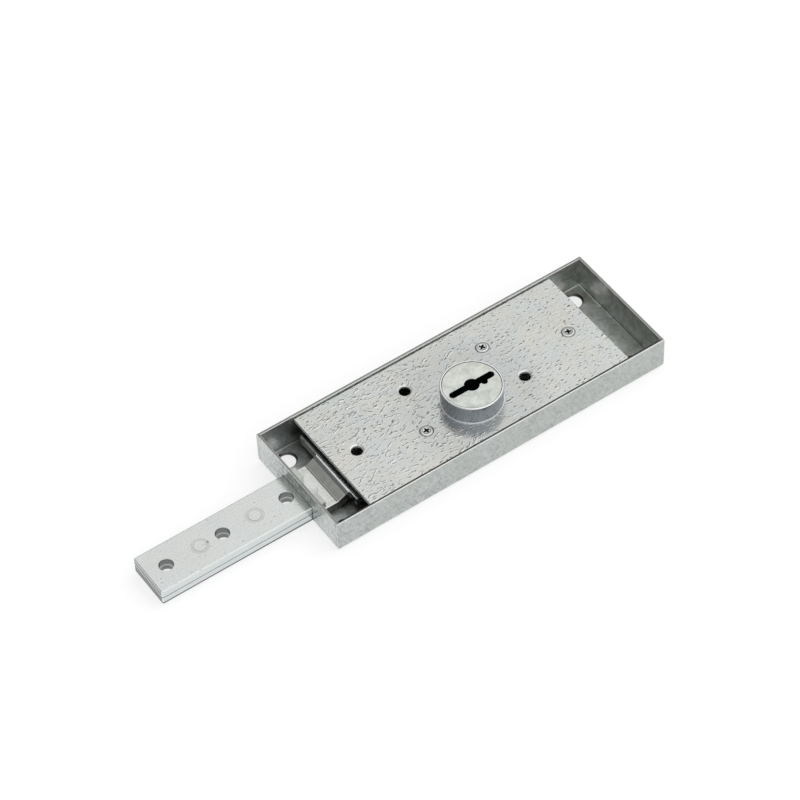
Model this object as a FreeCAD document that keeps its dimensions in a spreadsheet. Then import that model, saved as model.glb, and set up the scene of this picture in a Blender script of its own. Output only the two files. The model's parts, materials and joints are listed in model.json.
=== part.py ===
import FreeCAD, Part
import math
import os
import Sketcher

# Roller-shutter lock, left-hand one of a handed pair, bolt thrown.
# X runs along the case, the bolt leaves towards -X. Y runs across it. Z is up.
# The origin is the centre of the case's back face. Sizes are in millimetres.

SIZES = {
    # case and cover
    "case_length": 155.0,
    "case_width": 55.0,
    "case_height": 16.0,
    "case_wall": 1.2,
    "bend_radius": 1.9,
    "cover_length": 122.4,
    "cover_thickness": 1.5,
    "cover_drop": 1.2,
    "cover_gap": 0.2,
    "fixing_end_margin": 8.5,
    "fixing_side_margin": 7.2,
    "fixing_hole_radius": 3.5,
    "fixing_hole_sink": 0.7,
    # pillars and cover screws
    "pivot_along": 18.5,
    "pivot_across": 12.5,
    "spacer_along": 23.4,
    "spacer_across": 9.1,
    "tail_along": 50.3,
    "tail_across": 1.0,
    "pillar_radius": 2.75,
    "pillar_shoulder_radius": 3.5,
    "pivot_radius": 2.5,
    "tenon_radius": 1.75,
    "tenon_depth": 1.1,
    "spacer_foot": 1.5,
    "tail_foot_margin": 1.5,
    "tapped_radius": 1.55,
    "tapped_depth": 8.0,
    "screw_radius": 1.5,
    "screw_length": 6.8,
    "screw_head_radius": 2.8,
    "screw_head_depth": 1.3,
    "screw_hole_radius": 2.35,
    "countersink_depth": 0.6,
    "recess_width": 0.8,
    "recess_length": 3.0,
    "recess_depth": 0.7,
    "screw_sink": 0.05,
    # lock barrel
    "barrel_across": 6.5,
    "barrel_radius": 12.5,
    "barrel_rise": 8.5,
    "sleeve_wall": 0.7,
    "sleeve_chamfer": 0.3,
    "sleeve_foot_step": 0.3,
    "sleeve_foot_rise": 0.35,
    "sleeve_web": 0.4,
    "sleeve_flange_radius": 15.5,
    "sleeve_flange": 1.2,
    "drum_collar": 0.65,
    "drum_collar_reach": 1.0,
    "drum_set_back": 0.1,
    "drum_chamfer": 0.25,
    "spigot_radius": 4.5,
    "spigot_depth": 2.0,
    "neck_radius": 5.0,
    "journal_radius": 3.0,
    "journal_lift": 0.3,
    "flange_radius": 5.5,
    "bush_radius": 4.25,
    "bush_flange_radius": 6.5,
    "bush_flange": 0.8,
    "bush_rise": 0.8,
    "key_length": 20.8,
    "key_width": 3.0,
    "key_post_radius": 3.05,
    "key_bump_along": 4.9,
    "key_bump_radius": 1.35,
    "key_floor": 0.75,
    "guard_pin_radius": 1.0,
    "guard_pin_offset": 7.5,
    "guard_pin_length": 9.4,
    # rack and pinion
    "gear_module": 0.8,
    "pinion_teeth": 8.0,
    "pinion_addendum": 0.75,
    "pinion_dedendum": 1.25,
    "pinion_root_share": 0.72,
    "pinion_pitch_share": 0.65,
    "pinion_tip_share": 0.27,
    "tooth_sink": 0.3,
    "rack_addendum": 0.62,
    "rack_dedendum": 1.0,
    "rack_tip_share": 0.36,
    "rack_root_share": 1.1,
    "rack_teeth": 12.0,
    "rack_lead": 1.5,
    # bolt bar and carrier
    "bar_width": 20.0,
    "bar_layer": 3.6,
    "bar_reach": 67.6,
    "bar_corner": 0.8,
    "bar_edge": 0.5,
    "window_gap": 0.25,
    "slide_gap": 0.15,
    "stop_gap": 1.0,
    "bar_hole_radius": 2.95,
    "bar_hole_step": 0.1,
    "bar_hole_flare": 0.9,
    "bar_hole_first": 8.4,
    "bar_hole_second": 33.6,
    "bar_hole_third": 62.6,
    "rivet_first": 23.5,
    "rivet_second": 48.2,
    "rivet_radius": 2.5,
    "rivet_rise": 0.05,
    "rivet_dish_radius": 3.7,
    "rivet_dish_depth": 0.15,
    "prong_width": 21.2,
    "prong_length": 3.75,
    "notch_radius": 4.7,
    "stud_inset": 3.8,
    "stud_radius": 2.5,
    "strip_width": 22.4,
    "bay_flat": 9.0,
    "ramp_run": 5.3,
    "ramp_rise": 2.85,
    "foot_bend": 1.2,
    "head_bend": 1.0,
    "head_length": 10.0,
    "head_back": 22.7,
    "head_front": 16.0,
    "spine_back": 7.5,
    "tail_wall": 4.3,
    "tail_end": 4.2,
    "tail_bush_wall": 0.6,
    "stump_radius": 2.0,
    "stump_foot_radius": 1.5,
    "stump_across": 2.6,
    "stump_margin": 3.0,
    # lever pack
    "lever_count": 4.0,
    "lever_thickness": 0.75,
    "lever_ring_radius": 13.5,
    "lever_window_radius": 10.9,
    "lever_eye_radius": 5.0,
    "lever_arm_width": 9.0,
    "lever_lift_angle": 4.0,
    "gate_clearance": 0.75,
    "gate_pocket_radius": 3.6,
    "gate_margin": 3.0,
    "gate_back_margin": 2.2,
    "gate_bar_end": 8.1,
    "gate_corner": 2.0,
    "belly_width": 12.0,
    "belly_height": 8.4,
    "belly_step": 0.45,
    "shim_thickness": 0.3,
    "shim_radius": 4.6,
    "collar_radius": 4.0,
    "spring_thickness": 0.3,
    "spring_width": 0.55,
    "spring_foot": 13.0,
    "spring_foot_inset": 0.9,
    "spring_bend_radius": 1.2,
    "spring_blade": 17.0,
    "spring_angle": 150.0,
    "spring_post_radius": 2.0,
    "spring_post_reach": 15.0,
    # clearances
    "running_gap": 0.05,
    "face_gap": 0.15,
    "wide_gap": 0.3,
}


class Size:
    """A number together with the sheet expression that it comes from."""

    def __init__(self, number, text=None):
        self.number = float(number)
        self.text = repr(float(number)) if text is None else text

    def combine(self, other, number, sign):
        return Size(number, "(" + self.text + sign + other.text + ")")

    def __add__(self, other):
        other = as_size(other)
        return self.combine(other, self.number + other.number, " + ")

    def __sub__(self, other):
        other = as_size(other)
        return self.combine(other, self.number - other.number, " - ")

    def __mul__(self, other):
        other = as_size(other)
        return self.combine(other, self.number * other.number, " * ")

    def __truediv__(self, other):
        other = as_size(other)
        return self.combine(other, self.number / other.number, " / ")

    def __neg__(self):
        return Size(0.0) - self


def as_size(value):
    return value if isinstance(value, Size) else Size(value)


def cosine(degrees):
    return Size(math.cos(math.radians(degrees.number)), "cos(" + degrees.text + " * 1 deg)")


def sine(degrees):
    return Size(math.sin(math.radians(degrees.number)), "sin(" + degrees.text + " * 1 deg)")


def root(value):
    return Size(math.sqrt(value.number), "sqrt(" + value.text + ")")


def turned(point, centre, degrees):
    """The point turned about the centre, counter-clockwise seen from above."""
    along = point[0] - centre[0]
    across = point[1] - centre[1]
    return (centre[0] + along * cosine(degrees) - across * sine(degrees),
            centre[1] + along * sine(degrees) + across * cosine(degrees))


document = FreeCAD.newDocument("shutter_lock")
sheet = document.addObject("Spreadsheet::Sheet", "Dims")
for row, (name, number) in enumerate(SIZES.items(), start=1):
    sheet.set("A" + str(row), name)
    sheet.set("B" + str(row), str(number))
    sheet.setAlias("B" + str(row), name)
document.recompute()


class Sizes:
    """The sheet's sizes, one attribute for each row."""


dims = Sizes()
for name, number in SIZES.items():
    setattr(dims, name, Size(number, "Dims." + name))

ZERO = Size(0.0)
HALF_TURN = Size(180.0)
PI = Size(math.pi, "pi")

# Heights and places that more than one piece uses.
cover_top = dims.case_height - dims.cover_drop
cover_bottom = cover_top - dims.cover_thickness
barrel_y = -dims.barrel_across
drum_bottom = cover_bottom - dims.sleeve_flange + dims.face_gap / 2
barrel_top = cover_top + dims.barrel_rise
collar_seat = cover_bottom - dims.sleeve_web
collar_room = dims.barrel_radius + dims.drum_collar_reach
sleeve_foot = dims.barrel_radius + dims.sleeve_foot_step
bush_top = dims.case_wall + dims.bush_flange + dims.bush_rise
pivot_place = (dims.pivot_along, dims.pivot_across)
spacer_place = (-dims.spacer_along, -dims.spacer_across)
tail_place = (dims.tail_along, -dims.tail_across)
bar_bottom = dims.case_wall + dims.slide_gap
bar_joint = bar_bottom + dims.bar_layer
bar_top = bar_joint + dims.bar_layer
plate_bottom = bar_bottom + dims.ramp_rise
plate_top = bar_joint + dims.ramp_rise
wall_inside = dims.case_wall - dims.case_length / 2
bar_tip = -dims.case_length / 2 - dims.bar_reach
stop_face = wall_inside + dims.stop_gap
strip_face = wall_inside + dims.bend_radius - dims.case_wall
ramp_foot = stop_face + dims.bay_flat
ramp_head = ramp_foot + dims.ramp_run
pitch_radius = dims.gear_module * dims.pinion_teeth / 2
pitch_line = barrel_y + pitch_radius
tooth_pitch = PI * dims.gear_module
throw = tooth_pitch * dims.pinion_teeth
rack_root = pitch_line + dims.gear_module * dims.rack_dedendum
rack_tip = pitch_line - dims.gear_module * dims.rack_addendum
pinion_bottom = plate_bottom - dims.face_gap
neck_bottom = plate_top + dims.face_gap
neck_top = drum_bottom
spigot_top = neck_top + dims.spigot_depth
lever_base = neck_bottom + dims.face_gap
lever_step = dims.lever_thickness + dims.shim_thickness
pack_top = lever_base + lever_step * dims.lever_count - dims.shim_thickness
stump_place = (-dims.lever_ring_radius - throw - dims.stump_margin, dims.stump_across)
stud_x = stop_face + dims.stud_inset
bush_outer = dims.pillar_radius + dims.running_gap + dims.tail_bush_wall
fork_half = bush_outer + dims.face_gap
gate_back = dims.stump_across + dims.gate_pocket_radius + dims.gate_back_margin
LEVER_TOTAL = int(SIZES["lever_count"])

# How many belly steps each lever is cut by, which is what one key fits.
BITTING = (0, 3, 1, 2)


def vector(x, y, z=0.0):
    return FreeCAD.Vector(as_size(x).number, as_size(y).number, as_size(z).number)


def bind(target, prop, size):
    """Set a property from a sheet expression."""
    target.setExpression(prop, as_size(size).text)


def new_body(label, x=ZERO, y=ZERO):
    body = document.addObject("PartDesign::Body", label)
    body.Label = label
    bind(body, ".Placement.Base.x", x)
    bind(body, ".Placement.Base.y", y)
    return body


def new_sketch(body, name, plane, offset):
    """A sketch on one of the body's own origin planes, moved along its normal."""
    sketch = body.newObject("Sketcher::SketchObject", name)
    for feature in body.Origin.OriginFeatures:
        if feature.Role == plane:
            sketch.AttachmentSupport = [(feature, "")]
    sketch.MapMode = "FlatFace"
    bind(sketch, ".AttachmentOffset.Base.z", offset)
    return sketch


def place_point(sketch, curve, point, x, y):
    """Tie one point of a curve to its place from the sketch's origin."""
    for kind, size in (("DistanceX", as_size(x)), ("DistanceY", as_size(y))):
        rule = Sketcher.Constraint(kind, -1, 1, curve, point, size.number)
        bind(sketch, "Constraints[" + str(sketch.addConstraint(rule)) + "]", size)


def set_radius(sketch, curve, radius):
    rule = Sketcher.Constraint("Radius", curve, as_size(radius).number)
    bind(sketch, "Constraints[" + str(sketch.addConstraint(rule)) + "]", radius)


def polygon(sketch, corners):
    """A closed outline of straight lines through the corners."""
    first = sketch.GeometryCount
    following = corners[1:] + corners[:1]
    for here, there in zip(corners, following):
        sketch.addGeometry(Part.LineSegment(vector(*here), vector(*there)))
    for index in range(len(corners)):
        after = first + (index + 1) % len(corners)
        sketch.addConstraint(Sketcher.Constraint("Coincident", first + index, 2, after, 1))
    for index, corner in enumerate(corners):
        place_point(sketch, first + index, 1, *corner)


def rectangle(sketch, left, bottom, right, top):
    polygon(sketch, [(left, bottom), (right, bottom), (right, top), (left, top)])


def circle(sketch, x, y, radius):
    curve = sketch.addGeometry(Part.Circle(vector(x, y), FreeCAD.Vector(0, 0, 1), as_size(radius).number))
    place_point(sketch, curve, 3, x, y)
    set_radius(sketch, curve, radius)


def long_hole(sketch, start, end, radius):
    """A slot with round ends, drawn from its two centres and its radius."""
    heading = math.atan2(end[1].number - start[1].number, end[0].number - start[0].number)
    side = FreeCAD.Vector(-math.sin(heading), math.cos(heading), 0) * radius.number
    normal = FreeCAD.Vector(0, 0, 1)
    quarter = math.pi / 2
    start_circle = Part.Circle(vector(*start), normal, radius.number)
    end_circle = Part.Circle(vector(*end), normal, radius.number)
    near = sketch.addGeometry(Part.ArcOfCircle(start_circle, heading + quarter, heading + 3 * quarter))
    low = sketch.addGeometry(Part.LineSegment(vector(*start) - side, vector(*end) - side))
    far = sketch.addGeometry(Part.ArcOfCircle(end_circle, heading - quarter, heading + quarter))
    high = sketch.addGeometry(Part.LineSegment(vector(*end) + side, vector(*start) + side))
    for here, there in ((near, low), (low, far), (far, high), (high, near)):
        sketch.addConstraint(Sketcher.Constraint("Tangent", here, 2, there, 1))
    place_point(sketch, near, 3, *start)
    place_point(sketch, far, 3, *end)
    set_radius(sketch, near, radius)


def pad(body, name, sketch, length, symmetric=False):
    feature = body.newObject("PartDesign::Pad", name)
    feature.Profile = sketch
    if symmetric:
        feature.SideType = "Symmetric"
    bind(feature, "Length", length)
    document.recompute()
    return feature


def pocket(body, name, sketch, depth, both_ways=False):
    """Cut below the sketch, and check that the cut takes material away."""
    before = body.Shape.Volume
    feature = body.newObject("PartDesign::Pocket", name)
    feature.Profile = sketch
    if both_ways:
        feature.SideType = "Symmetric"
    bind(feature, "Length", depth)
    document.recompute()
    if body.Shape.Volume >= before:
        raise RuntimeError(name + " cuts nothing")
    return feature


def revolve(body, name, corners):
    """A solid of revolution about the body's Z axis, from radius and height pairs."""
    sketch = new_sketch(body, name + "_profile", "XZ_Plane", ZERO)
    polygon(sketch, corners)
    feature = body.newObject("PartDesign::Revolution", name)
    feature.Profile = sketch
    feature.ReferenceAxis = (sketch, ["V_Axis"])
    feature.Angle = 360.0
    document.recompute()
    return feature


def dress(body, kind, name, prop, size, wanted):
    """Fillet or chamfer the edges of the body that the test picks."""
    tip = body.Tip
    names = ["Edge" + str(index) for index, edge in enumerate(tip.Shape.Edges, start=1) if wanted(edge)]
    if not names:
        raise RuntimeError(name + " finds no edge")
    feature = body.newObject("PartDesign::" + kind, name)
    feature.Base = (tip, names)
    bind(feature, prop, size)
    document.recompute()
    return feature


def pattern(body, kind, name, original, settings, count):
    feature = body.newObject("PartDesign::" + kind, name)
    feature.Originals = [original]
    for prop, value in settings.items():
        setattr(feature, prop, value)
    bind(feature, "Occurrences", count)
    body.Tip = feature
    return feature


def near(number, size):
    return abs(number - as_size(size).number) < 0.01


def is_upright(edge):
    box = edge.BoundBox
    return box.ZLength > 0.01 and box.XLength < 0.001 and box.YLength < 0.001


def is_cross_edge(edge, along, height):
    """An edge that runs straight across the lock at one place along it."""
    box = edge.BoundBox
    return box.XLength < 0.001 and near(box.XMin, along) and is_level_at(edge, height)


def is_level_at(edge, height):
    return near(edge.BoundBox.ZMin, height) and near(edge.BoundBox.ZMax, height)


def solid(kind, name, place, **sizes):
    """A Part primitive with its sizes and its place bound to the sheet."""
    item = document.addObject("Part::" + kind, name)
    for prop, size in sizes.items():
        bind(item, prop, size)
    for axis, size in zip("xyz", place):
        bind(item, ".Placement.Base." + axis, size)
    return item


def ring(name, place, outer, inner, height):
    """A flat ring or bush."""
    outside = solid("Cylinder", name + "_outside", place, Radius=outer, Height=height)
    bore = solid("Cylinder", name + "_bore", place, Radius=inner, Height=height)
    item = document.addObject("Part::Cut", name)
    item.Base = outside
    item.Tool = bore
    return item


def group(label, items):
    """Several like solids that share one node."""
    compound = document.addObject("Part::Compound", label)
    compound.Label = label
    compound.Links = items
    return compound


def make_case_tray():
    """Folded tray: floor, four walls with bent feet, and the bolt's window."""
    body = new_body("case_tray")
    half_length = dims.case_length / 2
    half_width = dims.case_width / 2
    wall = dims.case_wall
    blank = new_sketch(body, "tray_outline", "XY_Plane", ZERO)
    rectangle(blank, -half_length, -half_width, half_length, half_width)
    pad(body, "tray_block", blank, dims.case_height)
    dress(body, "Fillet", "outer_bend", "Radius", dims.bend_radius, lambda edge: is_level_at(edge, ZERO))
    inside = new_sketch(body, "tray_inside", "XY_Plane", dims.case_height)
    rectangle(inside, wall - half_length, wall - half_width, half_length - wall, half_width - wall)
    pocket(body, "tray_hollow", inside, dims.case_height - wall)
    inner_bend = dims.bend_radius - wall
    dress(body, "Fillet", "inner_bend", "Radius", inner_bend, lambda edge: is_level_at(edge, wall))
    window = new_sketch(body, "bolt_window", "YZ_Plane", wall_inside + inner_bend)
    window_half = dims.bar_width / 2 + dims.window_gap
    rectangle(window, -window_half, wall, window_half, bar_top + dims.window_gap)
    pocket(body, "bolt_window_cut", window, wall + inner_bend)
    holes = new_sketch(body, "floor_holes", "XY_Plane", wall)
    hole_along = half_length - dims.fixing_end_margin
    hole_across = half_width - dims.fixing_side_margin
    for side in (-1, 1):
        for end in (-1, 1):
            circle(holes, hole_along * end, hole_across * side, dims.fixing_hole_radius)
    tenon_hole = dims.tenon_radius + dims.running_gap
    for place in (pivot_place, spacer_place, tail_place, spring_post_place()):
        circle(holes, place[0], place[1], tenon_hole)
    circle(holes, ZERO, barrel_y, dims.bush_radius + dims.running_gap)
    pocket(body, "floor_holes_cut", holes, wall)
    hole_width = dims.fixing_hole_radius * 2
    dress(body, "Chamfer", "fixing_hole_sinks", "Size", dims.fixing_hole_sink,
          lambda edge: is_level_at(edge, wall) and near(edge.BoundBox.XLength, hole_width))
    return body


def screw_places():
    return [pivot_place, spacer_place, tail_place]


def cover_hole_places():
    """Each screw place and its mirror image, so that one plate serves both hands."""
    return [(x * hand, y) for x, y in screw_places() for hand in (-1, 1)]


def make_cover_plate():
    body = new_body("cover_plate")
    half_length = dims.cover_length / 2
    half_width = dims.case_width / 2 - dims.case_wall - dims.cover_gap
    outline = new_sketch(body, "cover_outline", "XY_Plane", cover_bottom)
    rectangle(outline, -half_length, -half_width, half_length, half_width)
    pad(body, "cover_sheet", outline, dims.cover_thickness)
    opening = new_sketch(body, "barrel_opening", "XY_Plane", cover_top)
    circle(opening, ZERO, barrel_y, sleeve_foot + dims.running_gap)
    pocket(body, "barrel_opening_cut", opening, dims.cover_thickness)
    holes = new_sketch(body, "screw_holes", "XY_Plane", cover_top)
    for x, y in cover_hole_places():
        circle(holes, x, y, dims.screw_hole_radius)
    pocket(body, "screw_holes_cut", holes, dims.cover_thickness)
    hole_width = dims.screw_hole_radius * 2
    dress(body, "Chamfer", "countersinks", "Size", dims.countersink_depth,
          lambda edge: is_level_at(edge, cover_top) and near(edge.BoundBox.XLength, hole_width))
    return body


def make_cover_screws():
    """Three countersunk screws with a cross recess."""
    screws = []
    head_top = cover_top - dims.screw_sink
    head_bottom = head_top - dims.screw_head_depth
    recess_bottom = head_top - dims.recess_depth
    for index, (x, y) in enumerate(screw_places(), start=1):
        tag = "screw_" + str(index)
        head = solid("Cone", tag + "_head", (x, y, head_bottom), Radius1=dims.screw_radius,
                     Radius2=dims.screw_head_radius, Height=dims.screw_head_depth)
        shank = solid("Cylinder", tag + "_shank", (x, y, head_top - dims.screw_length),
                      Radius=dims.screw_radius, Height=dims.screw_length - dims.screw_head_depth)
        blank = document.addObject("Part::Fuse", tag + "_blank")
        blank.Base = head
        blank.Tool = shank
        half_length = dims.recess_length / 2
        half_width = dims.recess_width / 2
        slot_along = solid("Box", tag + "_slot_along", (x - half_length, y - half_width, recess_bottom),
                           Length=dims.recess_length, Width=dims.recess_width, Height=dims.recess_depth)
        slot_across = solid("Box", tag + "_slot_across", (x - half_width, y - half_length, recess_bottom),
                            Length=dims.recess_width, Width=dims.recess_length, Height=dims.recess_depth)
        cross = document.addObject("Part::Fuse", tag + "_cross")
        cross.Base = slot_along
        cross.Tool = slot_across
        screw = document.addObject("Part::Cut", tag)
        screw.Base = blank
        screw.Tool = cross
        screws.append(screw)
    return group("cover_screws", screws)


def make_barrel_sleeve():
    """Tube that stands through the cover, with a flange under it that traps the drum's collar."""
    body = new_body("barrel_sleeve", ZERO, barrel_y)
    outer = dims.barrel_radius
    inner = outer - dims.sleeve_wall
    flange_bottom = cover_bottom - dims.sleeve_flange
    foot_top = cover_top + dims.sleeve_foot_rise
    revolve(body, "sleeve", [
        (collar_room, flange_bottom),
        (dims.sleeve_flange_radius, flange_bottom),
        (dims.sleeve_flange_radius, cover_bottom),
        (sleeve_foot, cover_bottom),
        (sleeve_foot, foot_top),
        (outer, foot_top),
        (outer, barrel_top - dims.sleeve_chamfer),
        (outer - dims.sleeve_chamfer, barrel_top),
        (inner, barrel_top),
        (inner, collar_seat),
        (collar_room, collar_seat),
    ])
    return body


def draw_keyway(body, prefix, top, depth, room):
    """Double-bit keyway: a round for the key's post and a blade slot through it."""
    post = new_sketch(body, prefix + "_post", "XY_Plane", top)
    circle(post, ZERO, ZERO, dims.key_post_radius + room)
    pocket(body, prefix + "_post_cut", post, depth)
    blade_radius = dims.key_width / 2 + room
    blade_reach = dims.key_length / 2 - dims.key_width / 2
    blades = new_sketch(body, prefix + "_blades", "XY_Plane", top)
    long_hole(blades, (-blade_reach, ZERO), (blade_reach, ZERO), blade_radius)
    pocket(body, prefix + "_blades_cut", blades, depth)


def make_rotor_drum():
    body = new_body("rotor_drum", ZERO, barrel_y)
    radius = dims.barrel_radius - dims.sleeve_wall - dims.running_gap
    collar_radius = collar_room - dims.face_gap
    top = barrel_top - dims.drum_set_back
    seat_radius = dims.spigot_radius + dims.running_gap
    revolve(body, "drum", [
        (ZERO, spigot_top + dims.running_gap),
        (seat_radius, spigot_top + dims.running_gap),
        (seat_radius, drum_bottom),
        (collar_radius, drum_bottom),
        (collar_radius, drum_bottom + dims.drum_collar),
        (radius, drum_bottom + dims.drum_collar),
        (radius, top - dims.drum_chamfer),
        (radius - dims.drum_chamfer, top),
        (ZERO, top),
    ])
    depth = top - drum_bottom
    draw_keyway(body, "keyway", top, depth, ZERO)
    bump = new_sketch(body, "keyway_bump", "XY_Plane", top)
    circle(bump, dims.key_bump_along, -dims.key_width / 2, dims.key_bump_radius)
    pocket(body, "keyway_bump_cut", bump, depth)
    bore_depth = dims.guard_pin_length + dims.wide_gap
    bores = new_sketch(body, "guard_pin_bores", "XY_Plane", drum_bottom + bore_depth)
    for side in (-1, 1):
        circle(bores, ZERO, dims.guard_pin_offset * side, dims.guard_pin_radius + dims.running_gap)
    pocket(body, "guard_pin_bores_cut", bores, bore_depth)
    return body


def make_guard_pins():
    """Hardened pins that stop a drill, pressed into the drum from below."""
    pins = []
    for index, side in enumerate((-1, 1), start=1):
        place = (ZERO, barrel_y + dims.guard_pin_offset * side, drum_bottom + dims.face_gap)
        pins.append(solid("Cylinder", "guard_pin_" + str(index), place,
                          Radius=dims.guard_pin_radius, Height=dims.guard_pin_length))
    return group("guard_pins", pins)


def make_rotor_spindle():
    """Journal, flange, eight-tooth pinion, slotted neck and the spigot that carries the drum."""
    body = new_body("rotor_spindle", ZERO, barrel_y)
    core = pitch_radius - dims.gear_module * dims.pinion_dedendum
    flange_bottom = bush_top + dims.face_gap
    revolve(body, "spindle", [
        (ZERO, dims.journal_lift),
        (dims.journal_radius, dims.journal_lift),
        (dims.journal_radius, flange_bottom),
        (dims.flange_radius, flange_bottom),
        (dims.flange_radius, pinion_bottom),
        (core, pinion_bottom),
        (core, neck_bottom),
        (dims.neck_radius, neck_bottom),
        (dims.neck_radius, neck_top),
        (dims.spigot_radius, neck_top),
        (dims.spigot_radius, spigot_top),
        (ZERO, spigot_top),
    ])
    unit = dims.gear_module
    tip = pitch_radius + unit * dims.pinion_addendum
    tooth = new_sketch(body, "tooth_outline", "XY_Plane", pinion_bottom)
    polygon(tooth, [
        (-unit * dims.pinion_root_share, core - dims.tooth_sink),
        (unit * dims.pinion_root_share, core - dims.tooth_sink),
        (unit * dims.pinion_pitch_share, pitch_radius),
        (unit * dims.pinion_tip_share, tip),
        (-unit * dims.pinion_tip_share, tip),
        (-unit * dims.pinion_pitch_share, pitch_radius),
    ])
    first = pad(body, "tooth", tooth, neck_bottom - pinion_bottom)
    pattern(body, "PolarPattern", "teeth", first, {"Axis": (tooth, ["N_Axis"]), "Angle": 360.0},
            dims.pinion_teeth)
    document.recompute()
    draw_keyway(body, "key_way", spigot_top, spigot_top - neck_bottom - dims.key_floor, dims.running_gap)
    return body


def make_floor_bush():
    body = new_body("floor_bush", ZERO, barrel_y)
    bore = dims.journal_radius + dims.running_gap
    flange_top = dims.case_wall + dims.bush_flange
    revolve(body, "bush", [
        (bore, dims.journal_lift),
        (dims.bush_radius, dims.journal_lift),
        (dims.bush_radius, dims.case_wall),
        (dims.bush_flange_radius, dims.case_wall),
        (dims.bush_flange_radius, flange_top),
        (dims.bush_radius, flange_top),
        (dims.bush_radius, bush_top),
        (bore, bush_top),
    ])
    return body


def make_pillar(label, place, foot_radius, foot_top, top_radius):
    """Riveted pillar: tenon in the floor, shoulder, and a tapped bore for a cover screw."""
    body = new_body(label, *place)
    tenon_bottom = dims.case_wall - dims.tenon_depth
    bore_bottom = cover_bottom - dims.tapped_depth
    revolve(body, label + "_turned", [
        (ZERO, tenon_bottom),
        (dims.tenon_radius, tenon_bottom),
        (dims.tenon_radius, dims.case_wall),
        (foot_radius, dims.case_wall),
        (foot_radius, foot_top),
        (top_radius, foot_top),
        (top_radius, cover_bottom),
        (dims.tapped_radius, cover_bottom),
        (dims.tapped_radius, bore_bottom),
        (ZERO, bore_bottom),
    ])
    return body


def make_spring_post():
    place = spring_post_place()
    body = new_body("spring_post", *place)
    tenon_bottom = dims.case_wall - dims.tenon_depth
    top = pack_top + dims.face_gap
    revolve(body, "post", [
        (ZERO, tenon_bottom),
        (dims.tenon_radius, tenon_bottom),
        (dims.tenon_radius, dims.case_wall),
        (dims.spring_post_radius, dims.case_wall),
        (dims.spring_post_radius, top),
        (ZERO, top),
    ])
    return body


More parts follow.
